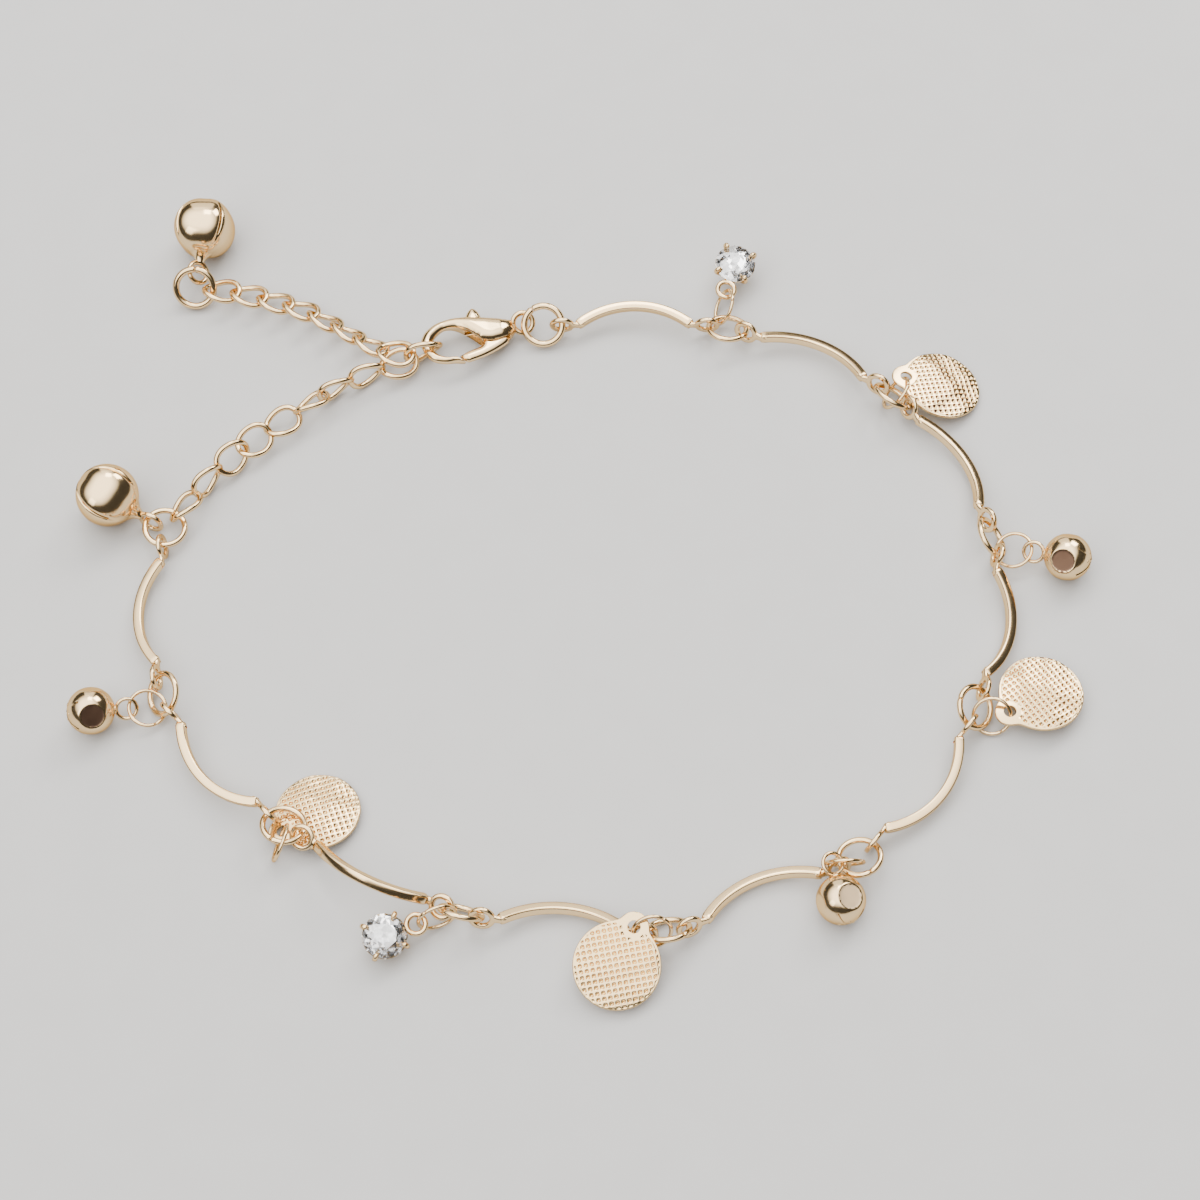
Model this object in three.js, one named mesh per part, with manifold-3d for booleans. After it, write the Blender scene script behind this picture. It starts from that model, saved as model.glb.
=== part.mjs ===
// Charm anklet: curved bars joined by round jump rings, with hammered discs, jingle bells and
// claw-set crystals on small rings, an extension chain and a lobster clasp. Millimetres, +Z up.
// It lies fastened on a flat surface, with the clasp hooked into the extension chain.
import * as THREE from "three";
import { mergeVertices } from "three/addons/utils/BufferGeometryUtils.js";
import Module from "manifold-3d";

const wasm = await Module();
wasm.setup();

const TURN = Math.PI / 180;

// ---- driving dimensions -------------------------------------------------------------------
const BAR_CHORD = 10.7; // straight length of the curved strip, without its eyes
const BAR_RISE = 2.0; // height of the arc over its chord
const BAR_WIDTH = 0.85; // in the plane of the arc
const BAR_THICKNESS = 0.85; // across that plane
const EYE_REACH = 1.5; // from the end of the strip to the middle of its eye
const EYE_RADIUS = 1.18;
const EYE_HOLE_RADIUS = 0.69;
const EYE_THICKNESS = 0.42;

const RING_RADIUS = 1.8; // middle line of a jump ring
const RING_WIRE = 0.5;
const RING_PULL = 1.88; // from a ring's middle to the middle of an eye that hangs on it
const STOUT_WIRE = 0.62; // clasp ring and end ring
const CHARM_RING_RADIUS = 1.62;
const CHARM_RING_WIRE = 0.3;

const DISC_RADIUS = 3.7;
const DISC_DOME = 0.25; // rise of the disc's middle over its rim
const DISC_SHEET = 0.3;
const DISC_HOLE_OFFSET = 3.5; // from the disc's middle to its hole
const DISC_HOLE_RADIUS = 0.55;
const TAB_RADIUS = 1.25;
const RELIEF_PITCH = 0.97; // of the raised pyramids, in rows and columns
const RELIEF_HEIGHT = 0.16;
const RELIEF_RADIUS = 3.35;

const STONE_RADIUS = 1.7;
const SETTING_RADIUS = 1.9;
const CRYSTAL_REACH = 2.8; // from the middle of the loop to the middle of the stone
const SMALL_BELL_RADIUS = 2.1;
const SMALL_BELL_FLAT = 1.72; // from the bell's middle to each of its four flats
const SMALL_BELL_REACH = 3.1;
const BIG_BELL_RADIUS = 2.95;
const BIG_BELL_REACH = 4.6;

const LINK_LENGTH = 3.9;
const LINK_WIDTH = 3.2;
const LINK_WIRE = 0.5;
const LINK_TWIST = 0.23; // how far the middle line leaves its plane
const LOOSE_PITCH = 2.68; // between links that are free of each other
const TAIL_PITCH = 2.72; // between the links that lie pushed together

const LEVER_THICKNESS = 0.8;
const LEVER_SLOT = 1.1;
const LEVER_PIN_RADIUS = 0.3;
const LEVER_HOLE_RADIUS = 0.42;


// ---- the loop: bars and the rings between them, walked clockwise from the clasp ring ---------
// heading: direction of travel; side: 1 arches outwards, -1 inwards; lean: outward tip of the top
const BARS = [
  { heading: -5, side: 1, lean: -7 },
  { heading: -32, side: 1, lean: 14 },
  { heading: -66, side: 1, lean: 24 },
  { heading: -103, side: 1, lean: 23 },
  { heading: -133, side: 1, lean: 12 },
  { heading: -161, side: -1, lean: -17 },
  { heading: -190, side: -1, lean: -22 },
  { heading: -212, side: 1, lean: -48 },
  { heading: -231, side: 1, lean: 16 },
  { heading: -271, side: 1, lean: 12 },
];
// lean: outward tip of the ring's top; height: of the eyes on it; shift: ring outward of its eyes
const JOINTS = [
  { name: "clasp_ring", lean: -35, height: 1.5, shift: 0 },
  { name: "ring_1", lean: 21, height: 1.45, shift: 0 },
  { name: "ring_2", lean: 44, height: 1.85, shift: -0.2 },
  { name: "ring_3", lean: 53, height: 1.6, shift: -0.2 },
  { name: "ring_4", lean: 42, height: 1.75, shift: -0.1 },
  { name: "ring_5", lean: -14, height: 1.2, shift: 0.4 },
  { name: "ring_6", lean: -41, height: 1.4, shift: 0 },
  { name: "ring_7", lean: -57, height: 1.6, shift: 0.2 },
  { name: "ring_8", lean: -16, height: 1.85, shift: 0.1 },
  { name: "ring_9", lean: 45, height: 1.55, shift: 0 },
  { name: "ring_10", lean: -8, height: 1.1, shift: 0.3 },
];
const START = new THREE.Vector3(-3.4, 29.4, 0);

// ---- the charms on the loop -----------------------------------------------------------------
// ahead, out, height: middle of the charm's ring, from the middle of its joint; bearing, climb: the
// way from there to the charm; lean: tip of the ring's axis to the left of that way
// toward, rise, roll: the same three for the charm itself
const CHARMS = [
  { joint: 1, kind: "crystal", ahead: -0.9, out: 2.3, height: 1.5, bearing: 80, climb: 10, lean: 60,
    toward: 67, rise: 8, roll: -10 },
  { joint: 2, kind: "disc", ahead: -0.3, out: 0.6, height: 1.45, bearing: 50, climb: 20, lean: -130,
    toward: -9, rise: -15, roll: 5 },
  { joint: 3, kind: "bell", ahead: 1.2, out: 1.7, height: 1.0, bearing: -20, climb: 15, lean: -10,
    toward: -22, rise: 12, roll: -45 },
  { joint: 4, kind: "disc", ahead: 0, out: 1.5, height: 1.3, bearing: 0, climb: 10, lean: -45,
    toward: 32, rise: -5, roll: 0 },
  { joint: 5, kind: "bell", ahead: 1.4, out: 0.1, height: 1.65, bearing: -165, climb: 45, lean: 115,
    toward: -82, rise: -18, roll: 20 },
  { joint: 6, kind: "disc", ahead: 1.4, out: 0.3, height: 2.25, bearing: 170, climb: 25, lean: 60,
    toward: -120, rise: -18, roll: 10 },
  { joint: 7, kind: "crystal", ahead: 1.8, out: 1.1, height: 1.8, bearing: -165, climb: 0, lean: -95,
    toward: -161, rise: 1, roll: 20 },
  { joint: 8, kind: "disc", ahead: -0.7, out: 1.4, height: 1.5, bearing: 85, climb: -30, lean: 65,
    toward: 30, rise: -4, roll: 5 },
  { joint: 9, kind: "bell", ahead: -0.4, out: 1.7, height: 0.85, bearing: -175, climb: 15, lean: 10,
    toward: -174, rise: 13, roll: 45 },
];

// ---- the extension chain -----------------------------------------------------------------------
// It runs from ring_10 in a flat bow to the link on the clasp's hook, and hangs over from there.
// lean: tip of a link about its length, rising along the chain; height: of its middle
const CHAIN_BOW = 18; // half of the turn of the bow
const CHAIN_START_PITCH = 2.61; // from ring_10 to the first link
const CHAIN_A = [
  [
    { lean: 36, height: 1.35 },
    { lean: 92, height: 1.65 },
    { lean: 122, height: 1.55 },
  ],
  [
    { lean: 160, height: 1.4 },
    { lean: 180, height: 1.2 },
    { lean: 220, height: 1.4 },
  ],
  [
    { lean: 258, height: 1.65 },
    { lean: 268, height: 1.5 },
    { lean: 347, height: 1.1 },
  ],
];
const HOOKED_LINK = { x: -14.85, y: 27.43, height: 1.6, heading: 198, lean: -80 };
const BOW_END = { x: -17.2, y: 26.47 }; // middle of the last link before the hooked one
const TAIL_START = { x: -17.4, y: 27.24 }; // middle of the first link after it
const CHAIN_B = [
  [
    { heading: 161, lean: -8, height: 1.8 },
    { heading: 143, lean: -40, height: 1.6 },
    { heading: 141, lean: -45, height: 1.5 },
    { heading: 143, lean: -40, height: 1.4 },
  ],
  [
    { heading: 151, lean: -30, height: 1.45 },
    { heading: 156, lean: -25, height: 1.3 },
    { heading: 160, lean: -20, height: 1.3 },
    { heading: 168, lean: -15, height: 1.35 },
  ],
];
const END_RING = { heading: 178, lean: 50, height: 1.75 };
// petals: turn of a bell's petals about its length, from its loop
const BIG_BELLS = [
  { name: "bell_10", ring: "ring_10", toward: 151, rise: 23, roll: 85, petals: -23 },
  { name: "bell_end", ring: "end_ring", toward: 80, rise: 14, roll: -45, petals: 42 },
];

// ---- the clasp ---------------------------------------------------------------------------------
// Local frame: X from the nose to the eye, Y to the side of the lever's nub, Z across the body.
const CLASP = { x: -14.95, y: 28.65, height: 1.75, heading: 7.3, climb: -3.5 };
const CLASP_EYE = { x: 9.75, y: 0.2, lean: 40 };
const LEVER_PIVOT = { x: 6.9, y: -0.5 };

const group = new THREE.Group();
const gold = { color: 0xe3c7a0, metalness: 1, roughness: 0.24 };
const glass = { color: 0xe8e6e0, metalness: 0, roughness: 0.05 };

function addMesh(name, geometry, matrix = new THREE.Matrix4(), look = gold) {
  const mesh = new THREE.Mesh(geometry, new THREE.MeshStandardMaterial(look));
  mesh.name = name;
  mesh.applyMatrix4(matrix);
  group.add(mesh);
  return mesh;
}

// ---- solids -------------------------------------------------------------------------------
function toSolid(geometry) {
  const bare = geometry.clone();
  bare.deleteAttribute("normal");
  bare.deleteAttribute("uv");
  const merged = mergeVertices(bare, 1e-4);
  return new wasm.Manifold(
    new wasm.Mesh({
      numProp: 3,
      vertProperties: new Float32Array(merged.attributes.position.array),
      triVerts: new Uint32Array(merged.index.array),
    }),
  );
}

function toGeometry(solid) {
  const mesh = solid.getMesh();
  const geometry = new THREE.BufferGeometry();
  geometry.setAttribute("position", new THREE.BufferAttribute(mesh.vertProperties, 3));
  geometry.setIndex(new THREE.BufferAttribute(mesh.triVerts, 1));
  return geometry;
}

const union = (geometries) => geometries.map(toSolid).reduce((sum, next) => sum.add(next));

const box = (sizeX, sizeY, sizeZ, x = 0, y = 0, z = 0) =>
  new THREE.BoxGeometry(sizeX, sizeY, sizeZ).translate(x, y, z);

// A flat plate with its outline in XY and its thickness centred on Z = 0.
function plate(shape, thickness, curveSegments = 3) {
  const options = { depth: thickness, bevelEnabled: false, curveSegments };
  return new THREE.ExtrudeGeometry(shape, options).translate(0, 0, -thickness / 2);
}

function roundPath(radius, sides, PathClass = THREE.Path, x = 0, y = 0) {
  const path = new PathClass();
  for (let i = 0; i < sides; i += 1) {
    const a = (i / sides) * 2 * Math.PI;
    path[i === 0 ? "moveTo" : "lineTo"](x + radius * Math.cos(a), y + radius * Math.sin(a));
  }
  return path;
}

// A flat ring with its axis along Z, centred on the origin.
function washer(outer, inner, thickness, outerSides, innerSides) {
  const shape = roundPath(outer, outerSides, THREE.Shape);
  shape.holes.push(roundPath(inner, innerSides));
  return plate(shape, thickness);
}

// A curved bar along X that arches towards +Y, with an upright eye at each end.
function barGeometry() {
  const radius = BAR_CHORD ** 2 / 8 / BAR_RISE + BAR_RISE / 2;
  const half = Math.asin(BAR_CHORD / 2 / radius);
  const steps = 5;
  const outline = [];
  for (const [r, sign] of [[radius + BAR_WIDTH / 2, 1], [radius - BAR_WIDTH / 2, -1]]) {
    for (let i = 0; i <= steps; i += 1) {
      const a = sign * half * (1 - (2 * i) / steps);
      outline.push(new THREE.Vector2(-r * Math.sin(a), r * Math.cos(a) - radius + BAR_RISE));
    }
  }
  const pieces = [plate(new THREE.Shape(outline), BAR_THICKNESS)];
  for (const end of [-1, 1]) {
    pieces.push(
      box(EYE_REACH - 0.2, EYE_THICKNESS, BAR_THICKNESS - 0.3, end * (BAR_CHORD / 2 + 0.05), 0.02),
      washer(EYE_RADIUS, EYE_HOLE_RADIUS, EYE_THICKNESS, 9, 8)
        .rotateX(Math.PI / 2)
        .translate(end * (BAR_CHORD / 2 + EYE_REACH), 0, 0),
    );
  }
  return toGeometry(union(pieces));
}

const ringGeometry = (radius, wire, sides = 5, steps = 12) =>
  new THREE.TorusGeometry(radius, wire / 2, sides, steps);

// A domed disc whose hole is at the origin and whose middle lies along +X, relief upwards.
function discGeometry() {
  const bend = DISC_RADIUS ** 2 / 2 / DISC_DOME;
  const drop = (x, y) => -(x * x + y * y) / 2 / bend;
  const cells = Math.ceil((2 * (DISC_HOLE_OFFSET + TAB_RADIUS)) / RELIEF_PITCH / 2) * 2;
  const edge = (cells / 2) * RELIEF_PITCH;
  const corner = (i, j) => [i * RELIEF_PITCH - edge, j * RELIEF_PITCH - edge];
  const points = [];
  const faces = [];
  const put = (x, y, z) => points.push(x, y, z) / 3 - 1;
  const at = [];
  for (let i = 0; i <= cells; i += 1) {
    at.push([]);
    for (let j = 0; j <= cells; j += 1) {
      const [x, y] = corner(i, j);
      at[i].push(put(x, y, drop(x, y)));
    }
  }
  for (let i = 0; i < cells; i += 1) {
    for (let j = 0; j < cells; j += 1) {
      const ring = [at[i][j], at[i + 1][j], at[i + 1][j + 1], at[i][j + 1]];
      const [x, y] = corner(i + 0.5, j + 0.5);
      if (Math.hypot(x, y) < RELIEF_RADIUS) {
        const peak = put(x, y, drop(x, y) + RELIEF_HEIGHT);
        ring.forEach((vertex, k) => faces.push(vertex, ring[(k + 1) % 4], peak));
      } else {
        faces.push(ring[0], ring[1], ring[2], ring[0], ring[2], ring[3]);
      }
    }
  }
  const rim = [];
  for (let i = 0; i < cells; i += 1) rim.push(at[i][0]);
  for (let j = 0; j < cells; j += 1) rim.push(at[cells][j]);
  for (let i = cells; i > 0; i -= 1) rim.push(at[i][cells]);
  for (let j = cells; j > 0; j -= 1) rim.push(at[0][j]);
  const floor = put(0, 0, -3);
  rim.forEach((vertex, k) => faces.push(vertex, floor, rim[(k + 1) % rim.length]));
  const waffle = new THREE.BufferGeometry();
  waffle.setAttribute("position", new THREE.Float32BufferAttribute(points, 3));
  waffle.setIndex(faces);

  const reach = DISC_HOLE_OFFSET + TAB_RADIUS + 0.3;
  const under = [new THREE.Vector2(0, -4), new THREE.Vector2(reach, -4)];
  for (const share of [1, 0.6, 0]) {
    under.push(new THREE.Vector2(reach * share, drop(reach * share, 0) - DISC_SHEET));
  }
  const disc = new THREE.Shape();
  disc.absarc(0, 0, DISC_RADIUS, 0, 2 * Math.PI);
  const tab = roundPath(TAB_RADIUS, 14, THREE.Shape, -DISC_HOLE_OFFSET);
  const hole = roundPath(DISC_HOLE_RADIUS, 10, THREE.Shape, -DISC_HOLE_OFFSET);
  const fillet = [[-3.7, -1.23], [-2.85, -2.36], [-2.85, 2.36], [-3.7, 1.23]];
  const neck = new THREE.Shape(fillet.map(([x, y]) => new THREE.Vector2(x, y)));
  const solid = toSolid(plate(disc, 4, 10))
    .add(toSolid(plate(tab, 4)))
    .add(toSolid(plate(neck, 4)))
    .subtract(toSolid(plate(hole, 6)))
    .intersect(toSolid(waffle))
    .subtract(toSolid(new THREE.LatheGeometry(under, 12).rotateX(Math.PI / 2)));
  const level = DISC_SHEET / 2 - drop(DISC_HOLE_OFFSET, 0);
  return toGeometry(solid).translate(DISC_HOLE_OFFSET, 0, level);
}

const lathe = (profile, segments) =>
  new THREE.LatheGeometry(profile.map(([r, z]) => new THREE.Vector2(r, z)), segments).rotateX(
    Math.PI / 2,
  );

// The loop's middle is at the origin, the stone's along +X, and both face +Z.
function settingGeometry() {
  const cup = lathe(
    [[0, -1], [1.3, -1], [SETTING_RADIUS, 0.1], [STONE_RADIUS + 0.06, 0.1], [1.15, -0.85], [0, -0.85]],
    10,
  );
  const pieces = [cup];
  for (let i = 0; i < 4; i += 1) {
    const claw = new THREE.CylinderGeometry(0.2, 0.2, 1.1, 5).rotateX(Math.PI / 2);
    const tip = new THREE.SphereGeometry(0.3, 5, 3).rotateX(Math.PI / 2);
    for (const [piece, r, z] of [[claw, SETTING_RADIUS + 0.08, 0.15], [tip, STONE_RADIUS + 0.12, 0.75]]) {
      pieces.push(piece.translate(r, 0, z).rotateZ((i + 0.5) * (Math.PI / 2)));
    }
  }
  for (const piece of pieces) piece.translate(CRYSTAL_REACH, 0, 0);
  return toGeometry(union([...pieces, washer(1.05, 0.55, 0.5, 10, 8)]));
}

function stoneGeometry() {
  const crown = [[STONE_RADIUS, 0.32], [1, 0.75], [0, 0.75]];
  const pavilion = [[0, -0.75], [0.25, -0.75], [STONE_RADIUS, 0.2]];
  return toGeometry(toSolid(lathe([...pavilion, ...crown], 10))).translate(CRYSTAL_REACH, 0, 0);
}

// A hollow bell along +X from its loop, parted into four petals by slots from the far end.
function bellGeometry({ outer, cavity, reach, slotWidth, slotStart, petals, loop, wire }) {
  const slotLength = 2 * cavity + 1;
  let solid = outer.subtract(toSolid(new THREE.SphereGeometry(cavity, 6, 4)));
  for (const turn of [petals + 45, petals - 45]) {
    const slot = box(slotLength, slotWidth, 2 * slotLength, slotStart + slotLength / 2);
    solid = solid.subtract(toSolid(slot.rotateX(turn * TURN)));
  }
  const ring = ringGeometry(loop, wire, 4, 9).translate(-reach, 0, 0);
  return toGeometry(solid.add(toSolid(ring))).translate(reach, 0, 0);
}

function smallBellGeometry() {
  const ball = new THREE.SphereGeometry(SMALL_BELL_RADIUS, 8, 6);
  const flats = box(6, 2 * SMALL_BELL_FLAT, 2 * SMALL_BELL_FLAT);
  return bellGeometry({
    outer: toSolid(ball).intersect(toSolid(flats)),
    cavity: 1.4,
    reach: SMALL_BELL_REACH,
    slotWidth: 0.3,
    slotStart: 0.6,
    petals: 0,
    loop: 0.9,
    wire: 0.34,
  });
}

function bigBellGeometry(petals) {
  const ball = new THREE.SphereGeometry(BIG_BELL_RADIUS, 12, 8);
  const neck = box(1.3, 0.6, 0.6, -BIG_BELL_RADIUS - 0.4);
  return bellGeometry({
    outer: toSolid(ball).add(toSolid(neck)),
    cavity: 2.4,
    reach: BIG_BELL_REACH,
    slotWidth: 0.35,
    slotStart: -1.5,
    petals,
    loop: 1.0,
    wire: 0.5,
  });
}

// ---- poses --------------------------------------------------------------------------------
const UP = new THREE.Vector3(0, 0, 1);
const along = (degrees) => new THREE.Vector3(Math.cos(degrees * TURN), Math.sin(degrees * TURN), 0);
const leftOf = (direction) => UP.clone().cross(direction).normalize();
const aim = (bearing, climb) =>
  along(bearing).multiplyScalar(Math.cos(climb * TURN)).setZ(Math.sin(climb * TURN));

// Frame with X along a direction, and its Z tipped from upright towards the left by lean degrees.
function pose(position, direction, lean, side = 1) {
  const x = direction.clone().normalize();
  const left = leftOf(x);
  const top = x.clone().cross(left).multiplyScalar(Math.cos(lean * TURN));
  const z = top.addScaledVector(left, Math.sin(lean * TURN)).normalize();
  const y = z.clone().cross(x);
  if (side < 0) {
    x.negate();
    y.negate();
  }
  return new THREE.Matrix4().makeBasis(x, y, z).setPosition(position);
}

// ---- the loop -------------------------------------------------------------------------------
// Walk it: each ring holds the eye of the bar before it and the eye of the bar after it.
const barLength = BAR_CHORD + 2 * EYE_REACH;
const joints = JOINTS.map((row) => ({ ...row }));
joints[0].travel = along(BARS[0].heading);
joints[0].middle = START.clone().setZ(JOINTS[0].height);
let eye = joints[0].middle.clone().addScaledVector(joints[0].travel, RING_PULL);
BARS.forEach((row, index) => {
  const joint = joints[index + 1];
  const next = BARS[index + 1] ?? { heading: row.heading - 30 };
  const rise = (joint.height - eye.z) / barLength;
  const direction = along(row.heading).setZ(rise).normalize();
  const far = eye.clone().addScaledVector(direction, barLength);
  const middle = eye.clone().lerp(far, 0.5);
  addMesh(`bar_${index + 1}`, barGeometry(), pose(middle, direction, row.lean, row.side));
  joint.travel = along((row.heading + next.heading) / 2);
  const half = Math.sqrt(RING_PULL ** 2 - joint.shift ** 2);
  joint.middle = far.clone().addScaledVector(joint.travel, half);
  eye = joint.middle.clone().addScaledVector(joint.travel, half);
});
for (const joint of joints) {
  joint.frame = pose(joint.middle, joint.travel, joint.lean);
  joint.frame.multiply(new THREE.Matrix4().makeTranslation(0, joint.shift, 0));
  const wire = joint.name === "clasp_ring" ? STOUT_WIRE : RING_WIRE;
  addMesh(joint.name, ringGeometry(RING_RADIUS, wire), joint.frame);
}

const CHARM_PIECES = {
  crystal: [["setting", settingGeometry, gold], ["stone", stoneGeometry, glass]],
  disc: [["disc", discGeometry, gold]],
  bell: [["bell", smallBellGeometry, gold]],
};
const CHARM_SLACK = { crystal: 0.2, disc: 0, bell: 0.2 }; // from the ring's wire to the hole's middle
for (const row of CHARMS) {
  const joint = joints[row.joint];
  const middle = joint.middle.clone().setZ(row.height);
  middle.addScaledVector(joint.travel, row.ahead).addScaledVector(leftOf(joint.travel), row.out);
  const way = aim(row.bearing, row.climb);
  addMesh(
    `charm_ring_${row.joint}`,
    ringGeometry(CHARM_RING_RADIUS, CHARM_RING_WIRE, 4, 11),
    pose(middle, way, row.lean),
  );
  const hole = middle.clone().addScaledVector(way, CHARM_RING_RADIUS);
  const axis = aim(row.toward, row.rise);
  hole.addScaledVector(axis, CHARM_SLACK[row.kind]);
  for (const [piece, build, look] of CHARM_PIECES[row.kind]) {
    addMesh(`${piece}_${row.joint}`, build(), pose(hole, axis, row.roll), look);
  }
}

// ---- the extension chain and the bells on its ends -------------------------------------------
// One link: a round wire bent to an oval along X and twisted.
function linkGeometry() {
  const geometry = new THREE.TorusGeometry(1, LINK_WIRE / 2, 4, 10);
  const a = (LINK_LENGTH - LINK_WIRE) / 2;
  const b = (LINK_WIDTH - LINK_WIRE) / 2;
  const position = geometry.attributes.position;
  for (let i = 0; i < position.count; i += 1) {
    const turn = Math.atan2(position.getY(i), position.getX(i));
    const [c, s] = [Math.cos(turn), Math.sin(turn)];
    const outward = new THREE.Vector3(b * c, a * s, 0).normalize();
    const tangent = new THREE.Vector3(-a * s, b * c, 2 * LINK_TWIST * Math.cos(2 * turn)).normalize();
    const across = outward.clone().cross(tangent);
    const point = new THREE.Vector3(a * c, b * s, LINK_TWIST * Math.sin(2 * turn));
    point.addScaledVector(outward, Math.hypot(position.getX(i), position.getY(i)) - 1);
    point.addScaledVector(across, position.getZ(i));
    position.setXYZ(i, point.x, point.y, point.z);
  }
  return geometry;
}

// A stretch of soldered links: their poses are found one by one, then they become one solid.
function addStretch(name, poses) {
  addMesh(name, toGeometry(union(poses.map((matrix) => linkGeometry().applyMatrix4(matrix)))));
}

const ringTen = joints[10].middle;
const chord = Math.hypot(BOW_END.x - ringTen.x, BOW_END.y - ringTen.y);
const chordHeading = Math.atan2(BOW_END.y - ringTen.y, BOW_END.x - ringTen.x) / TURN;
const bowRadius = chord / 2 / Math.sin(CHAIN_BOW * TURN);
const bowLength = 2 * CHAIN_BOW * TURN * bowRadius;
const solderedPitch = (bowLength - CHAIN_START_PITCH - 2 * LOOSE_PITCH) / 6;
let travelled = CHAIN_START_PITCH;
CHAIN_A.forEach((stretch, number) => {
  const poses = stretch.map((row, index) => {
    if (index > 0) travelled += solderedPitch;
    const heading = chordHeading + CHAIN_BOW * (1 - (2 * travelled) / bowLength);
    const middle = ringTen.clone().addScaledVector(leftOf(along(chordHeading + CHAIN_BOW)), -bowRadius);
    middle.addScaledVector(leftOf(along(heading)), bowRadius).setZ(row.height);
    return pose(middle, along(heading), row.lean);
  });
  travelled += LOOSE_PITCH;
  addStretch(`chain_a_${number + 1}`, poses);
});
const hooked = new THREE.Vector3(HOOKED_LINK.x, HOOKED_LINK.y, HOOKED_LINK.height);
addStretch("hooked_link", [pose(hooked, along(HOOKED_LINK.heading), HOOKED_LINK.lean)]);

const middle = new THREE.Vector3(TAIL_START.x, TAIL_START.y, 0);
let heading = CHAIN_B[0][0].heading;
CHAIN_B.forEach((stretch, number) => {
  const poses = stretch.map((row, index) => {
    const pitch = index === 0 ? LOOSE_PITCH : TAIL_PITCH;
    if (number + index > 0) middle.addScaledVector(along((heading + row.heading) / 2), pitch);
    heading = row.heading;
    return pose(middle.clone().setZ(row.height), along(heading), row.lean);
  });
  addStretch(`chain_b_${number + 1}`, poses);
});
middle.addScaledVector(along((heading + END_RING.heading) / 2), 2.57).setZ(END_RING.height);
const endPose = pose(middle, along(END_RING.heading), END_RING.lean);
addMesh("end_ring", ringGeometry(RING_RADIUS, STOUT_WIRE), endPose);

const ringMiddles = { ring_10: ringTen, end_ring: middle };
for (const row of BIG_BELLS) {
  const way = aim(row.toward, row.rise);
  const wire = ringMiddles[row.ring].clone().addScaledVector(along(row.toward), RING_RADIUS);
  addMesh(row.name, bigBellGeometry(row.petals), pose(wire, way, row.roll));
}

// ---- the clasp --------------------------------------------------------------------------------
// A shape from runs of points: a run of two is straight, a longer one is a smooth curve.
function runs(list) {
  const shape = new THREE.Shape();
  shape.moveTo(...list[0][0]);
  for (const run of list) {
    const points = run.map(([x, y]) => new THREE.Vector2(x, y));
    if (points.length === 2) shape.lineTo(points[1].x, points[1].y);
    else shape.splineThru(points.slice(1));
  }
  return shape;
}

function claspBodyGeometry() {
  const outline = runs([
    [[3.7, -3.4], [2.8, -3.22], [1.8, -3.15], [0.85, -2.8], [0.2, -2.1], [-0.1, -1.2]],
    [
      [-0.1, -1.2], [-0.15, -0.5], [0.4, 0.55], [1.5, 1.36],
      [2.9, 1.68], [4.4, 1.55], [5.9, 1.2], [8.95, 0.5],
    ],
    [[8.95, 0.5], [8.95, -0.7]],
    [[8.95, -0.7], [8.25, -1.4], [7.45, -1.67], [6.5, -1.73], [5.45, -1.4], [5, -0.95]],
    [[5, -0.95], [4.2, -0.15], [3.3, 0.5], [2.35, 0.63], [1.5, 0.1], [0.95, -0.6], [0.85, -1.3]],
    [[0.85, -1.3], [1.2, -2], [1.85, -2.45], [2.5, -2.6], [3.05, -2.68]],
    [[3.05, -2.68], [3.7, -3.4]],
  ]);
  const side = runs([
    [[-1, -0.55], [2.2, -0.6]],
    [[2.2, -0.6], [4.6, -1.05]],
    [[4.6, -1.05], [6.2, -1.15]],
    [[6.2, -1.15], [7.6, -1.05]],
    [[7.6, -1.05], [9.4, -0.5]],
    [[9.4, -0.5], [9.4, 0.5]],
    [[9.4, 0.5], [7.6, 1.05]],
    [[7.6, 1.05], [6.2, 1.15]],
    [[6.2, 1.15], [4.6, 1.05]],
    [[4.6, 1.05], [2.2, 0.6]],
    [[2.2, 0.6], [-1, 0.55]],
  ]);
  const eyeWasher = washer(1.2, 0.68, 0.5, 11, 10).rotateX(CLASP_EYE.lean * TURN);
  const pin = new THREE.CylinderGeometry(LEVER_PIN_RADIUS, LEVER_PIN_RADIUS, 1.6, 10).rotateX(Math.PI / 2);
  const solid = toSolid(plate(outline, 2.4, 1))
    .intersect(toSolid(plate(side, 8).rotateX(Math.PI / 2)))
    .subtract(toSolid(box(4.2, 4, LEVER_SLOT, 6.2, -1.3)))
    .subtract(toSolid(box(3.1, 4, LEVER_SLOT, 5.65, 2.5)))
    .add(toSolid(pin.translate(LEVER_PIVOT.x, LEVER_PIVOT.y, 0)))
    .add(toSolid(eyeWasher.translate(CLASP_EYE.x, CLASP_EYE.y, 0)));
  return toGeometry(solid);
}

function claspLeverGeometry() {
  const outline = runs([
    [[3.86, -3.4], [5.5, -3], [7, -2.4], [8.1, -1.7]],
    [[8.1, -1.7], [7.9, -1], [7.6, 0], [7, 0.5], [6.2, 0.9], [5.95, 1.4], [5.75, 2.1], [5.26, 2.6]],
    [[5.26, 2.6], [4.75, 2.2], [4.45, 1.4], [4.7, 0.5], [5.3, -0.4], [5.6, -1.2]],
    [[5.6, -1.2], [5.4, -1.85], [4.6, -2.1], [4, -2.3], [3.22, -2.66]],
    [[3.22, -2.66], [3.86, -3.4]],
  ]);
  outline.holes.push(roundPath(LEVER_HOLE_RADIUS, 10, THREE.Path, LEVER_PIVOT.x, LEVER_PIVOT.y));
  return plate(outline, LEVER_THICKNESS, 1);
}

const claspPose = pose(
  new THREE.Vector3(CLASP.x, CLASP.y, CLASP.height),
  aim(CLASP.heading, CLASP.climb),
  0,
);
addMesh("clasp_body", claspBodyGeometry(), claspPose);
addMesh("clasp_lever", claspLeverGeometry(), claspPose);

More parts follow.
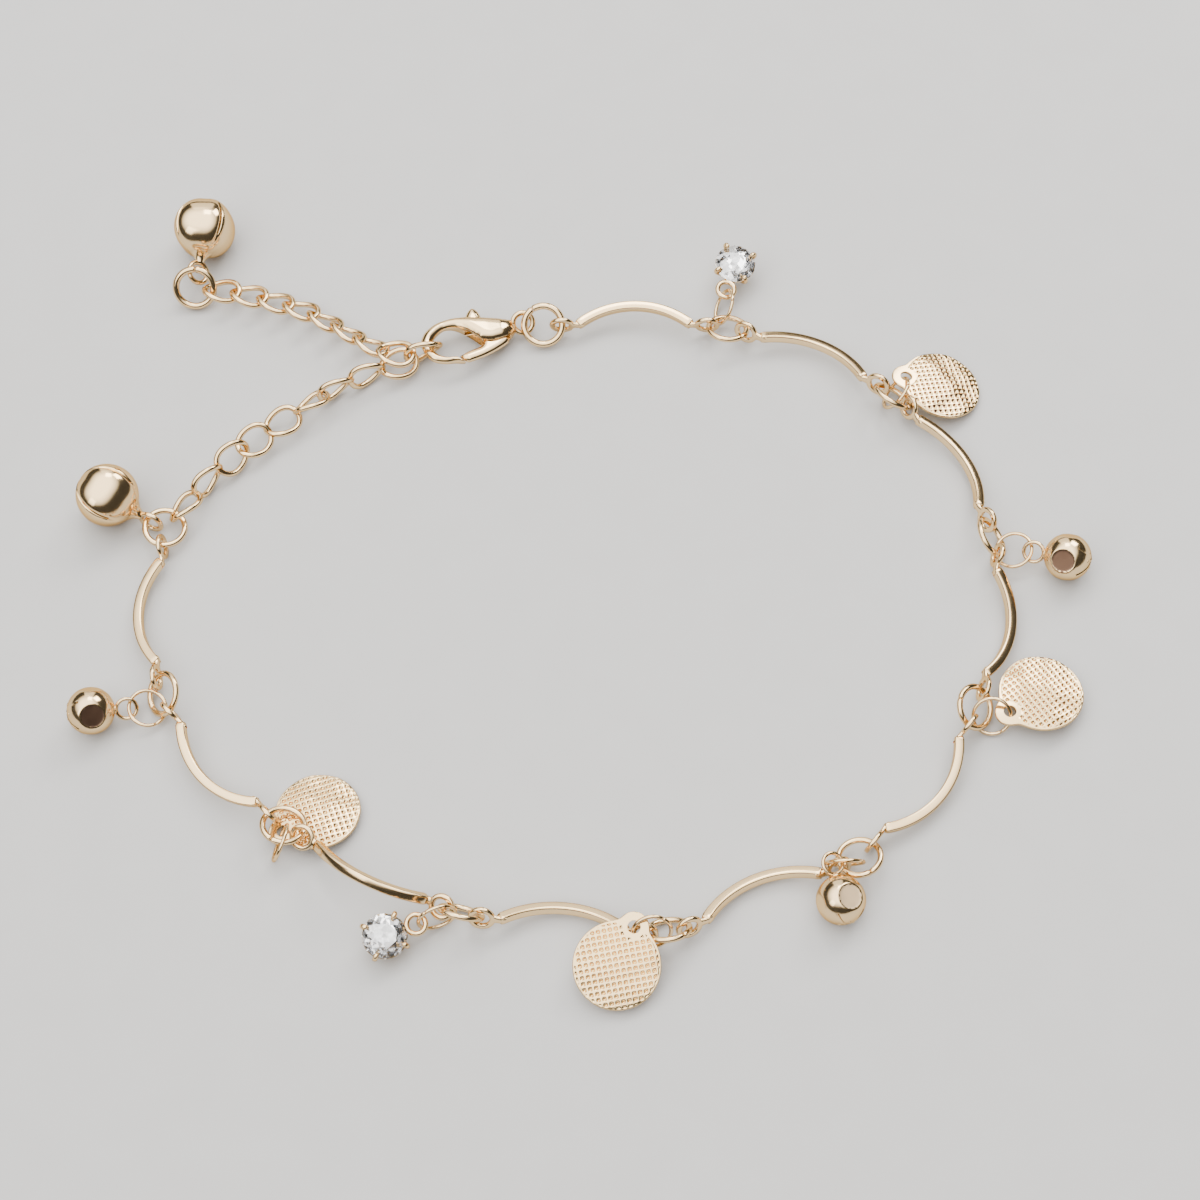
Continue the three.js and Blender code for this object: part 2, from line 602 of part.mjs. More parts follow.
// ---- set the whole on z = 0, centred ----------------------------------------------------------
const bounds = new THREE.Box3().setFromObject(group, true);
const centre = bounds.getCenter(new THREE.Vector3()).setZ(bounds.min.z);
for (const mesh of group.children) mesh.position.sub(centre);

export default group;
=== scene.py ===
# Charm anklet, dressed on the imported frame: curved bars and jump rings, hammered discs, jingle
# bells, claw-set crystals, an extension chain and a lobster clasp. Each part is shaped in
# millimetres, in directions of its own. add_piece poses the finished mesh and scales it to metres.
import math
import random

import bmesh
import bpy
import numpy as np
from mathutils import Matrix, Vector
from mathutils.geometry import delaunay_2d_cdt


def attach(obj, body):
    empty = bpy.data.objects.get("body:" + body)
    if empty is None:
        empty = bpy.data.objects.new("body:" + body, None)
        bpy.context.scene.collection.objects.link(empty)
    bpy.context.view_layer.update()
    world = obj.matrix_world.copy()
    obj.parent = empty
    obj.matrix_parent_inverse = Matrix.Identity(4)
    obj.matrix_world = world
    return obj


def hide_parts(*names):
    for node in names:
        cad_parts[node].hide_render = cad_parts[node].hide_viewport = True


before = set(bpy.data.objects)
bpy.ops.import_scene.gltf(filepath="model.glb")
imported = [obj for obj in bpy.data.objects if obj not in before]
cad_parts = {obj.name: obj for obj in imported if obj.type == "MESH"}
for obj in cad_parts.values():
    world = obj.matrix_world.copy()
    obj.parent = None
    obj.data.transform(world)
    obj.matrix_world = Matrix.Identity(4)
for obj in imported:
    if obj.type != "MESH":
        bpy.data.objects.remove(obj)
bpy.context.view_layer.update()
random.seed(7)
MM = 0.001
UP = np.array([0.0, 0.0, 1.0])
FULL_TURN = 2 * math.pi

# ---- sizes in millimetres -----------------------------------------------------------------------
# Wires, links, stones and the clasp's lever are a little fuller here than in the solids.
BAR_CHORD = 10.7
BAR_RISE = 2.0
BAR_WIDTH = 0.85
BAR_THICKNESS = 0.85
EYE_REACH = 1.5  # from the end of a bar's strip to the middle of its eye
EYE_RADIUS = 1.18
EYE_HOLE_RADIUS = 0.69
EYE_THICKNESS = 0.42

RING_RADIUS = 1.8  # to the middle of the wire, as for every ring and loop
RING_WIRE = 0.53
STOUT_WIRE = 0.65  # of the clasp's ring and the end ring
RING_GAP = 0.05  # in the butt joint
CHARM_RING_RADIUS = 1.62
CHARM_RING_WIRE = 0.33
CHARM_RING_GAP = 0.04

DISC_RADIUS = 3.7
DISC_DOME = 0.25
DISC_SHEET = 0.3
DISC_HOLE_OFFSET = 3.5  # from the middle of the disc to its hole
DISC_HOLE_RADIUS = 0.55
TAB_RADIUS = 1.25
WELL_PITCH = 0.5
WELL_DEPTH = 0.13
GRID_HEIGHT = 0.02  # of the raised lines between the wells, over the sheet
PLAIN_RIM = 0.16  # width of the rim without wells
PLAIN_TAB = 0.95  # radius about the hole without wells
WAVE_HEIGHT = 0.055  # of the slight buckling of the sheet
EDGE_WIDTH = 0.1  # of the rounded edge
EDGE_DROP = 0.09

STONE_RADIUS = 1.92
CRYSTAL_REACH = 2.8  # from the middle of the loop to the middle of the stone
SETTING_LOOP_RADIUS = 0.8
SETTING_LOOP_WIRE = 0.46
CLAW_RADIUS = 0.17
CLAW_SQUASH = 1.25

SMALL_BELL_RADIUS = 2.1
SMALL_BELL_FLAT = 1.78  # from the middle to the flats above and below
SMALL_BELL_SIDE = 1.96  # from the middle to the slight flats at the sides
SMALL_BELL_HOLLOW = 1.45
SMALL_BELL_REACH = 3.1  # from the middle of the loop to the middle of the bell
SMALL_LOOP_RADIUS = 0.9
SMALL_LOOP_WIRE = 0.34
SMALL_LOOP_OUTER = 1.07  # outer radius of the loop in the solid
DIMPLE_RADIUS = 1.08
DIMPLE_DEPTH = 0.06
DIMPLE_EDGE = 0.1

BIG_BELL_RADIUS = 2.95
BIG_BELL_HOLLOW = 2.45
BIG_BELL_REACH = 4.6
BIG_LOOP_RADIUS = 1.0
BIG_LOOP_WIRE = 0.48
BIG_LOOP_OUTER = 1.25  # outer radius of the loop in the solid

LINK_LENGTH = 3.92
LINK_WIDTH = 3.22
LINK_WIRE = 0.54
LINK_TWIST = 0.23

CLASP_PIN = (6.9, -0.5)
CLASP_EYE = (9.75, 0.2)
CLASP_EYE_RADIUS = 0.94
CLASP_EYE_TIP = 40  # degrees about the clasp's length
LEVER_SLOT = 1.1
LEVER_THICKNESS = 0.84
LEVER_HOLE_RADIUS = 0.42


# ---- vectors and poses --------------------------------------------------------------------------
def unit(v):
    return v / np.linalg.norm(v)


def upward(v):
    return v if v[2] > 0 else -v


def along(bearing):
    """The level direction at a bearing in degrees."""
    return np.array([math.cos(math.radians(bearing)), math.sin(math.radians(bearing)), 0.0])


def aim(bearing, climb):
    return along(bearing) * math.cos(math.radians(climb)) + UP * math.sin(math.radians(climb))


def left_of(direction):
    return unit(np.cross(UP, direction))


def pose_matrix(x, z, origin):
    """A pose from its X and rough Z directions and its origin."""
    x = unit(x)
    y = unit(np.cross(z, x))
    z = np.cross(x, y)
    pose = Matrix.Identity(4)
    for row in range(3):
        pose[row] = (x[row], y[row], z[row], origin[row])
    return pose


def lean_pose(position, direction, lean):
    """X along a direction, and Z tipped from upright towards the left by lean degrees."""
    x = unit(direction)
    left = left_of(x)
    z = np.cross(x, left) * math.cos(math.radians(lean)) + left * math.sin(math.radians(lean))
    return pose_matrix(x, z, position)


# ---- poses of the frame's nodes -----------------------------------------------------------------
def node_points(name):
    """The distinct vertices of a CAD node, in millimetres."""
    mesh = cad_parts[name].data
    flat = np.empty(len(mesh.vertices) * 3)
    mesh.vertices.foreach_get("co", flat)
    return np.unique(np.round(flat.reshape(-1, 3) / MM, 3), axis=0)


def axes_of(points):
    """Middle of the points and their principal directions, longest first."""
    middle = points.mean(0)
    return middle, np.linalg.svd(points - middle, full_matrices=False)[2]


def ring_pose(name):
    middle, axes = axes_of(node_points(name))
    return pose_matrix(axes[0], upward(axes[2]), middle)


def bar_pose(name):
    """X from eye to eye and Y towards the arch, with the origin between the eyes."""
    points = node_points(name)
    middle, axes = axes_of(points)
    x = axes[0]
    for _ in range(3):
        ahead = (points - middle) @ x
        far = points[ahead > BAR_CHORD / 2 + EYE_REACH].mean(0)
        near = points[ahead < -BAR_CHORD / 2 - EYE_REACH].mean(0)
        x = unit(far - near)
    origin = (far + near) / 2
    y = middle - origin
    y = unit(y - x * y.dot(x))
    return pose_matrix(x, np.cross(x, y), origin)


def tab_tip(points):
    """The outermost point of a disc's tab: the end of the disc that is the narrower."""
    middle, axes = axes_of(points)
    tab_band, tip_band = 0.9, 0.12
    ends = []
    for long_way in (axes[0], -axes[0]):
        ahead = (points - middle) @ long_way
        width = np.ptp(points[ahead > ahead.max() - tab_band] @ axes[1])
        ends.append((width, points[ahead > ahead.max() - tip_band].mean(0)))
    return min(ends, key=lambda end: end[0])[1]


def disc_pose(name):
    """X from the hole to the middle of the disc and Z upward, with the origin at the hole."""
    points = node_points(name)
    middle, axes = axes_of(points)
    normal = upward(axes[2])
    tip = tab_tip(points)
    centre = tip + unit(middle - tip) * (DISC_HOLE_OFFSET + TAB_RADIUS)
    rim_band, tab_start, lift = 0.2, 2.2, 0.03
    for _ in range(4):
        away = points - centre
        radius = np.linalg.norm(away - np.outer(away @ normal, normal), axis=1)
        on_rim = (np.abs(radius - DISC_RADIUS) < rim_band) & (away @ unit(tip - centre) < tab_start)
        rim = points[on_rim]
        rim_middle, (u, v, rim_normal) = axes_of(rim)
        normal = upward(rim_normal)
        flat = np.c_[(rim - rim_middle) @ u, (rim - rim_middle) @ v]
        system = np.c_[2 * flat, np.ones(len(flat))]
        fitted = np.linalg.lstsq(system, (flat**2).sum(1), rcond=None)[0]
        centre = rim_middle + fitted[0] * u + fitted[1] * v
    x = centre - tip
    x = unit(x - normal * x.dot(normal))
    return pose_matrix(x, normal, centre - DISC_HOLE_OFFSET * x + lift * normal)


def crystal_pose(number):
    """X from the loop to the stone and Z out of its table, with the origin in the loop."""
    points = node_points(f"stone_{number}")
    stone, axes = axes_of(points)
    normal = upward(axes[2])
    level = (points - stone) @ normal
    stone = stone + normal * (level.max() + level.min()) / 2
    setting = node_points(f"setting_{number}")
    reach = np.linalg.norm(setting - stone, axis=1)
    x = stone - setting[reach > reach.max() - 0.02].mean(0)
    x = unit(x - normal * x.dot(normal))
    return pose_matrix(x, normal, stone - CRYSTAL_REACH * x)


def bell_pose(name, loop_outer):
    """X from the loop to the bell and Y in the plane of the loop, with the origin in the loop."""
    loop_sides = 9  # as in the solid
    points = node_points(name)
    middle = points.mean(0)
    reach = np.linalg.norm(points - middle, axis=1)
    x = unit(middle - points[reach > reach.max() - 0.3].mean(0))
    for _ in range(4):
        ahead = (points - middle) @ x
        in_loop = ahead < ahead.min() + 1.5 * loop_outer
        loop = points[in_loop].mean(0)
        x = unit(points[ahead > ahead.min() + 2.4 * loop_outer].mean(0) - loop)
    side = points[in_loop] - loop
    side = side - np.outer(side @ x, x)
    y = np.linalg.svd(side, full_matrices=False)[2][0]
    tip = loop + x * ((points - loop) @ x).min()
    return pose_matrix(x, np.cross(x, y), tip + x * loop_outer * math.cos(math.pi / loop_sides))


# ---- shapes that the parts share ----------------------------------------------------------------
def angles(count):
    return np.linspace(0, FULL_TURN, count, endpoint=False)


def smooth_step(values):
    values = np.clip(values, 0, 1)
    return values * values * (3 - 2 * values)


def smooth_least(values, sharpness):
    """The least of the values, with the corners between them rounded."""
    return -np.log(sum(np.exp(-sharpness * v) for v in values)) / sharpness


def circle(radius, sides, squash=1.0):
    a = angles(sides)
    return np.c_[radius * np.cos(a), radius * squash * np.sin(a)]


def superellipse(half_a, half_b, power, sides):
    """A rounded rectangle, squarer as the power grows."""
    c, s = np.cos(angles(sides)), np.sin(angles(sides))
    x = half_a * np.sign(c) * np.abs(c) ** (2 / power)
    return np.c_[x, half_b * np.sign(s) * np.abs(s) ** (2 / power)]


def grid_faces(rows, columns, close_rows=False):
    """Quads of a grid of points whose columns close on themselves."""
    faces = []
    for i in range(rows if close_rows else rows - 1):
        for j in range(columns):
            i1, j1 = (i + 1) % rows, (j + 1) % columns
            faces.append((i * columns + j, i1 * columns + j, i1 * columns + j1, i * columns + j1))
    return faces


def sweep(path, normals, binormals, sections, closed=False, capped=True):
    """A section, or one for each step, carried along a path: its pairs go along normal and binormal."""
    steps, count = len(path), np.shape(sections)[-2]
    sections = np.broadcast_to(sections, (steps, count, 2))
    sideways = sections[..., :1] * normals[:, None] + sections[..., 1:] * binormals[:, None]
    faces = grid_faces(steps, count, close_rows=closed)
    if capped and not closed:
        faces.append(tuple(range(count)))
        faces.append(tuple(reversed(range((steps - 1) * count, steps * count))))
    return (path[:, None] + sideways).reshape(-1, 3), [face[::-1] for face in faces]


def wire_ring(radius, wire, gap=0.0, steps=84, sides=14):
    """A round wire bent to a ring in XY; a gap at +X is the butt joint of a jump ring."""
    half = gap / 2 / radius
    a = np.linspace(half, FULL_TURN - half, steps, endpoint=gap > 0)
    normals = np.c_[np.cos(a), np.sin(a), 0 * a]
    size = np.ones(steps)
    if gap > 0:
        size[[0, -1]] = 0.82  # the cut ends are broken
    sections = circle(wire / 2, sides) * size[:, None, None]
    return sweep(radius * normals, normals, np.tile(UP, (steps, 1)), sections, closed=gap == 0)


def revolve(radii, heights, segments, centre):
    """A profile turned about an upright axis; it starts and ends near the axis."""
    a = angles(segments)
    points = [np.c_[r * np.cos(a), r * np.sin(a), np.full(segments, z)] for r, z in zip(radii, heights)]
    return np.vstack(points) + centre, grid_faces(len(radii), segments)


def ball(centre, radii, rows=14, columns=20):
    phi, theta = np.linspace(0, math.pi, rows), angles(columns)
    x = np.outer(np.sin(phi), np.cos(theta)) * radii[0]
    y = np.outer(np.sin(phi), np.sin(theta)) * radii[1]
    z = np.outer(np.cos(phi), np.ones(columns)) * radii[2]
    points = np.stack([x, y, z], -1).reshape(-1, 3) + centre
    return points, [face[::-1] for face in grid_faces(rows, columns)]


def closed_ball(shape, rows, columns):
    """A closed surface about the X axis: shape gives the radius for unit directions."""
    phi, theta = np.linspace(0, math.pi, rows + 1)[1:-1], angles(columns)
    x = np.outer(np.cos(phi), np.ones(columns))
    y = np.outer(np.sin(phi), np.cos(theta))
    z = np.outer(np.sin(phi), np.sin(theta))
    directions = np.vstack([np.stack([x, y, z], -1).reshape(-1, 3), [[1, 0, 0], [-1, 0, 0]]])
    faces = grid_faces(rows - 1, columns)
    first_pole = (rows - 1) * columns
    last_row = first_pole - columns
    for j in range(columns):
        k = (j + 1) % columns
        faces.append((first_pole, j, k))
        faces.append((first_pole + 1, last_row + k, last_row + j))
    return directions * shape(directions)[:, None], faces


def block(size, centre, turn=0.0):
    """A box turned about the X axis."""
    ends = (-0.5, 0.5)
    corners = np.array([(x, y, z) for x in ends for y in ends for z in ends]) * size + centre
    c, s = math.cos(turn), math.sin(turn)
    x, y, z = corners.T
    faces = [(0, 1, 3, 2), (4, 6, 7, 5), (0, 4, 5, 1), (2, 3, 7, 6), (0, 2, 6, 4), (1, 5, 7, 3)]
    return np.c_[x, c * y - s * z, s * y + c * z], faces


# ---- meshes and pieces --------------------------------------------------------------------------
def face_outward(mesh):
    """Joins vertices that lie together and turns every face outwards."""
    work = bmesh.new()
    work.from_mesh(mesh)
    bmesh.ops.remove_doubles(work, verts=work.verts, dist=0.0005)
    bmesh.ops.recalc_face_normals(work, faces=work.faces)
    work.to_mesh(mesh)
    work.free()
    mesh.update()


def temporary_object(part, name):
    mesh = bpy.data.meshes.new(name)
    mesh.from_pydata(np.asarray(part[0]).tolist(), [], [tuple(face) for face in part[1]])
    face_outward(mesh)
    made = bpy.data.objects.new(name, mesh)
    bpy.context.collection.objects.link(made)
    return made


def cut_part(name, outer, cutters):
    """Boolean difference of closed parts: the result as points and faces."""
    base = temporary_object(outer, name)
    tools = []
    for k, cutter in enumerate(cutters):
        tool = temporary_object(cutter, f"{name}_cutter_{k}")
        tools.append(tool)
        modifier = base.modifiers.new(f"cut_{k}", "BOOLEAN")
        modifier.operation = "DIFFERENCE"
        modifier.solver = "EXACT"
        modifier.object = tool
    cut = base.evaluated_get(bpy.context.evaluated_depsgraph_get())
    result = cut.to_mesh()
    points = np.array([vertex.co[:] for vertex in result.vertices])
    faces = [tuple(polygon.vertices) for polygon in result.polygons]
    cut.to_mesh_clear()
    for made in [base, *tools]:
        bpy.data.objects.remove(made)
    return points, faces


def add_piece(name, parts, pose, material, body="anklet", flat=False, second=None):
    """The fine piece for a CAD node, from parts (points, faces) in millimetres, placed by its pose.

    second is another material with a test on a face's middle, which tells whether it goes there.
    """
    points, faces, start = [], [], 0
    for part_points, part_faces in parts:
        points.append(np.asarray(part_points, float))
        faces.extend([[i + start for i in face] for face in part_faces])
        start += len(part_points)
    mesh = bpy.data.meshes.new(f"{name}_fine")
    mesh.from_pydata(np.vstack(points).tolist(), [], faces)
    face_outward(mesh)
    mesh.materials.append(material)
    if second:
        other_material, belongs = second
        mesh.materials.append(other_material)
        for polygon in mesh.polygons:
            polygon.material_index = int(belongs(polygon.center))
    mesh.transform(pose)
    mesh.transform(Matrix.Scale(MM, 4))
    mesh.polygons.foreach_set("use_smooth", [not flat] * len(mesh.polygons))
    mesh.update()
    piece = bpy.data.objects.new(f"{name}_fine", mesh)
    bpy.context.collection.objects.link(piece)
    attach(piece, body)
    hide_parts(name)


# ---- bars ---------------------------------------------------------------------------------------
NECK = {  # from the end of a bar's strip to its eye
    "ahead": [-0.62, -0.35, 0.0, 0.25, 0.45],
    "offset": [0.22, 0.1, 0.02, 0.0, 0.0],
    "half_width": [0.36, 0.33, 0.24, 0.2, 0.19],
    "half_height": [0.36, 0.36, 0.34, 0.36, 0.42],
}


def strip_part():
    """The arched strip, nearly square in section, with slightly broken ends."""
    steps = 60
    radius = BAR_CHORD**2 / 8 / BAR_RISE + BAR_RISE / 2
    half = math.asin(BAR_CHORD / 2 / radius)
    a = np.linspace(-half, half, steps)
    normals = np.c_[np.sin(a), np.cos(a), 0 * a]
    path = radius * normals + [0, BAR_RISE - radius, 0]
    path[[0, -1], 0] += (0.02, -0.02)
    size = np.ones(steps)
    size[[0, 1, -2, -1]] = (0.86, 0.97, 0.97, 0.86)
    section = superellipse(BAR_WIDTH / 2, BAR_THICKNESS / 2, power=5.0, sides=24)
    return sweep(path, normals, np.tile(UP, (steps, 1)), section * size[:, None, None])


def eye_part(end):
    """The upright eye at one end of a bar: end is 1 or -1."""
    steps = 56
    a = angles(steps)
    normals = np.c_[np.cos(a), 0 * a, np.sin(a)]
    path = normals * (EYE_RADIUS + EYE_HOLE_RADIUS) / 2 + [end * (BAR_CHORD / 2 + EYE_REACH), 0, 0]
    half_wall = (EYE_RADIUS - EYE_HOLE_RADIUS) / 2
    section = superellipse(half_wall, EYE_THICKNESS / 2, power=3.0, sides=14)
    return sweep(path, normals, np.tile([0.0, -1.0, 0.0], (steps, 1)), section, closed=True)


def neck_part(end):
    """The short neck that tapers from the strip to the eye at one end."""
    ahead, offset = np.array(NECK["ahead"]), np.array(NECK["offset"])
    steps = len(ahead)
    path = np.c_[end * (BAR_CHORD / 2 + ahead), offset, 0 * offset]
    sizes = zip(NECK["half_width"], NECK["half_height"])
    sections = np.array([superellipse(*size, power=3.0, sides=16) for size in sizes])
    normals, binormals = np.tile([0.0, 1.0, 0.0], (steps, 1)), np.tile(end * UP, (steps, 1))
    return sweep(path, normals, binormals, sections, capped=False)


def bar_parts():
    return [strip_part()] + [part(end) for end in (-1, 1) for part in (eye_part, neck_part)]


# ---- discs --------------------------------------------------------------------------------------
def disc_outline(count):
    """Even points round the disc and its tab, which flow into each other. The hole is at the origin."""
    samples, blend, trim = 3000, 2.2, 0.03
    a = angles(samples)
    ray = np.c_[np.cos(a), np.sin(a)]
    ahead, aside = (ray * DISC_HOLE_OFFSET).T
    to_disc = ahead + np.sqrt(np.maximum(DISC_RADIUS**2 - aside**2, 0))
    reach = np.log(np.exp(blend * to_disc) + math.exp(blend * TAB_RADIUS)) / blend - trim
    outline = ray * reach[:, None]
    step = np.linalg.norm(np.roll(outline, -1, 0) - outline, axis=1)
    travelled = np.r_[0, np.cumsum(step)[:-1]]
    pick = np.searchsorted(travelled, np.linspace(0, step.sum(), count, endpoint=False))
    return outline[np.clip(pick, 0, samples - 1)]


def sheet_layer(outline, rows, turn):
    """Rows of points from the hole to the outline, with the sheet's height and its drop at the edge."""
    reach = np.linalg.norm(outline, axis=1)
    hole = outline / reach[:, None] * DISC_HOLE_RADIUS
    flat = hole + (outline - hole) * np.linspace(0, 1, rows)[:, None, None]
    x, y = flat[..., 0] - DISC_HOLE_OFFSET, flat[..., 1]
    r = np.hypot(x, y)
    dome = (DISC_HOLE_OFFSET**2 - r**2) * DISC_DOME / DISC_RADIUS**2
    wave = WAVE_HEIGHT * np.sin(1.7 * x + 2 * turn) * np.cos(1.5 * y + 0.6)
    off_tab = np.clip((r + x) / 2, 0, 1)
    inward = np.clip((reach - np.linalg.norm(flat, axis=2)) / EDGE_WIDTH, 0, 1)
    drop = EDGE_DROP * (1 - np.sqrt(np.clip(1 - (1 - inward) ** 2, 0, 1)))
    return flat, dome + wave * off_tab, drop


def hammered_relief(flat, turn):
    """Height of the grid over the sheet: raised lines round small square wells, none on rim and tab."""
    x, y = flat[..., 0] - DISC_HOLE_OFFSET, flat[..., 1]
    c, s = math.cos(turn), math.sin(turn)
    u, v = (c * x + s * y) / WELL_PITCH, (-s * x + c * y) / WELL_PITCH
    floor_share, slope_share = 0.12, 0.7  # of the way from a well's middle to the line beside it
    rim_fade, tab_fade = 0.1, 0.2
    from_middle = 2 * (np.abs(u - np.round(u)) ** 3 + np.abs(v - np.round(v)) ** 3) ** (1 / 3)
    raised = smooth_step((from_middle - floor_share) / slope_share)
    within_rim = np.clip((DISC_RADIUS - PLAIN_RIM - np.hypot(x, y)) / rim_fade, 0, 1)
    off_tab = np.clip((np.linalg.norm(flat, axis=2) - PLAIN_TAB) / tab_fade, 0, 1)
    return ((WELL_DEPTH + GRID_HEIGHT) * raised - WELL_DEPTH) * within_rim * off_tab


def disc_part(turn):
    """A domed sheet with its hole at the origin and its middle along +X; turn sets its grid."""
    count, top_rows, low_rows = 360, 130, 40
    outline = disc_outline(count)
    flat, sheet, drop = sheet_layer(outline, top_rows, turn)
    top = np.dstack([flat, sheet + DISC_SHEET / 2 + hammered_relief(flat, turn) - drop])
    flat, sheet, drop = sheet_layer(outline, low_rows, turn)
    bottom = np.dstack([flat, sheet - DISC_SHEET / 2 + drop])
    below = top_rows * count
    faces = grid_faces(top_rows, count)
    faces += [(a + below, b + below, c + below, d + below) for a, d, c, b in grid_faces(low_rows, count)]
    edge = below - count
    low_edge = below + (low_rows - 1) * count
    for j in range(count):
        k = (j + 1) % count
        faces.append((j, k, k + below, j + below))
        faces.append((edge + k, edge + j, low_edge + j, low_edge + k))
    return np.vstack([top.reshape(-1, 3), bottom.reshape(-1, 3)]), faces


# ---- crystals -----------------------------------------------------------------------------------
CUP = {  # profile of the setting's cup, from the middle underneath to the middle inside
    "radius": [0.02, 0.95, 1.3, 1.55, 1.86, 1.9, 1.86, 1.78, 1.74, 1.15, 0.02],
    "height": [-1.0, -1.0, -0.95, -0.6, -0.05, 0.06, 0.14, 0.12, 0.02, -0.8, -0.8],
}
CLAW = {  # middle line of a claw
    "radius": [1.45, 1.76, 2.0, 2.1, 2.05, 1.9, 1.72],
    "height": [-0.75, -0.35, 0.0, 0.3, 0.52, 0.66, 0.68],
}
STONE_ROWS = {  # the stone's corners; shift is a share of the step between them
    "table": {"radius": 1.0, "height": 0.74, "corners": 8, "shift": 0.0},
    "star": {"radius": 1.45, "height": 0.54, "corners": 8, "shift": 0.5},
    "girdle": {"radius": STONE_RADIUS, "height": 0.22, "corners": 16, "shift": 0.0},
    "belt": {"radius": STONE_RADIUS, "height": 0.14, "corners": 16, "shift": 0.0},
    "low": {"radius": 1.15, "height": -0.3, "corners": 16, "shift": 0.5},
    "deep": {"radius": 0.5, "height": -0.58, "corners": 8, "shift": 0.5},
    "culet": {"radius": 0.0, "height": -0.74, "corners": 1, "shift": 0.0},
}


def claw_parts(bearing):
    """A bent claw with a ball at its tip, at a bearing in radians about the stone."""
    out = np.array([math.cos(bearing), math.sin(bearing), 0])
    path = np.outer(CLAW["radius"], out) + np.outer(CLAW["height"], UP) + [CRYSTAL_REACH, 0, 0]
    tangent = np.gradient(path, axis=0)
    tangent /= np.linalg.norm(tangent, axis=1)[:, None]
    side = np.tile(np.cross(UP, out), (len(path), 1))
    section = circle(CLAW_RADIUS, 12, CLAW_SQUASH)
    stem = sweep(path, np.cross(side, tangent), side, section)
    tip = np.array([CRYSTAL_REACH, 0, 0.66]) + 1.8 * out
    return [stem, ball(tip, radii=(0.22, 0.22, 0.19))]


def setting_parts():
    cup = revolve(CUP["radius"], CUP["height"], 56, [CRYSTAL_REACH, 0, 0])
    claws = [part for quarter in range(4) for part in claw_parts((quarter + 0.5) * math.pi / 2)]
    loop = wire_ring(SETTING_LOOP_RADIUS, SETTING_LOOP_WIRE, steps=48)
    solder = ball(np.array([1.0, 0, -0.1]), radii=(0.35, 0.34, 0.25))
    return [cup, *claws, loop, solder]


def stone_part():
    """A brilliant: table, star, kite and girdle facets over a pavilion of two rows."""
    points, first = [], {}
    for name, row in STONE_ROWS.items():
        first[name] = len(points)
        for k in range(row["corners"]):
            a = (k + row["shift"]) * FULL_TURN / row["corners"]
            x = row["radius"] * math.cos(a) + CRYSTAL_REACH
            points.append((x, row["radius"] * math.sin(a), row["height"]))

    def at(name, k):
        return first[name] + k % STONE_ROWS[name]["corners"]

    faces = [tuple(at("table", i) for i in range(8))]
    for i in range(8):
        j = 2 * i
        faces += [
            (at("table", i), at("star", i), at("table", i + 1)),
            (at("table", i), at("star", i - 1), at("girdle", j), at("star", i)),
            (at("star", i), at("girdle", j), at("girdle", j + 1)),
            (at("star", i), at("girdle", j + 1), at("girdle", j + 2)),
            (at("culet", 0), at("deep", i), at("deep", i + 1)),
            (at("deep", i), at("low", j), at("low", j + 1)),
            (at("deep", i), at("low", j + 1), at("deep", i + 1)),
            (at("deep", i + 1), at("low", j + 1), at("low", j + 2)),
        ]
    for i in range(16):
        faces += [
            (at("girdle", i), at("belt", i), at("belt", i + 1), at("girdle", i + 1)),
            (at("belt", i), at("low", i), at("belt", i + 1)),
            (at("low", i), at("low", i + 1), at("belt", i + 1)),
        ]
    return points, faces


def in_pavilion(middle):
    """Whether a face of a stone lies below its girdle."""
    return middle.z < 0.1


# ---- bells --------------------------------------------------------------------------------------
BIG_BELL_NECK = {  # from the loop to the bell
    "radius": [1.2, 0.9, 0.64, 0.47, 0.4],
    "ahead": [2.05, 1.8, 1.55, 1.28, 1.0],
}


def crossed_slots(start, width, length, height, turn=0.0):
    """Two flat cutters that cross on the X axis and begin at start."""
    size, centre = (length, width, height), (start + length / 2, 0, 0)
    return [block(size, centre, turn + side * math.pi / 4) for side in (1, -1)]


def hollow_ball(radius, rows, columns):
    return closed_ball(lambda directions: np.full(len(directions), radius), rows, columns)


def small_bell_shape(directions):
    """A ball with flats above, below and at the sides, the upper and lower ones dished."""
    least = 0.2  # keeps the divisions finite, well away from each flat
    aside = np.maximum(np.abs(directions[:, 1]), least)
    above = np.maximum(np.abs(directions[:, 2]), least)
    whole = np.full(len(directions), SMALL_BELL_RADIUS)
    flats = [SMALL_BELL_SIDE / aside, SMALL_BELL_FLAT / above]
    radius = smooth_least([whole, *flats], sharpness=45)
    off_middle = np.hypot(directions[:, 0], directions[:, 1]) / above * SMALL_BELL_FLAT
    return radius - DIMPLE_DEPTH * smooth_step((DIMPLE_RADIUS - off_middle) / DIMPLE_EDGE)


def small_bell_parts():
    hollow = hollow_ball(SMALL_BELL_HOLLOW, rows=24, columns=32)
    slots = crossed_slots(start=1.15, width=0.2, length=5.2, height=9)
    outer = closed_ball(small_bell_shape, rows=90, columns=128)
    points, faces = cut_part("small_bell", outer, [hollow, *slots])
    parts = [(points + [SMALL_BELL_REACH, 0, 0], faces)]
    for a in angles(4):
        tip = np.array([SMALL_BELL_REACH + 1.93, 0.62 * math.cos(a), 0.62 * math.sin(a)])
        parts.append(ball(tip, radii=(0.13, 0.2, 0.2), rows=8, columns=12))
    parts.append(wire_ring(SMALL_LOOP_RADIUS, SMALL_LOOP_WIRE, steps=48, sides=12))
    parts.append(ball(np.array([1.02, 0, 0]), radii=(0.2, 0.42, 0.42)))
    return parts


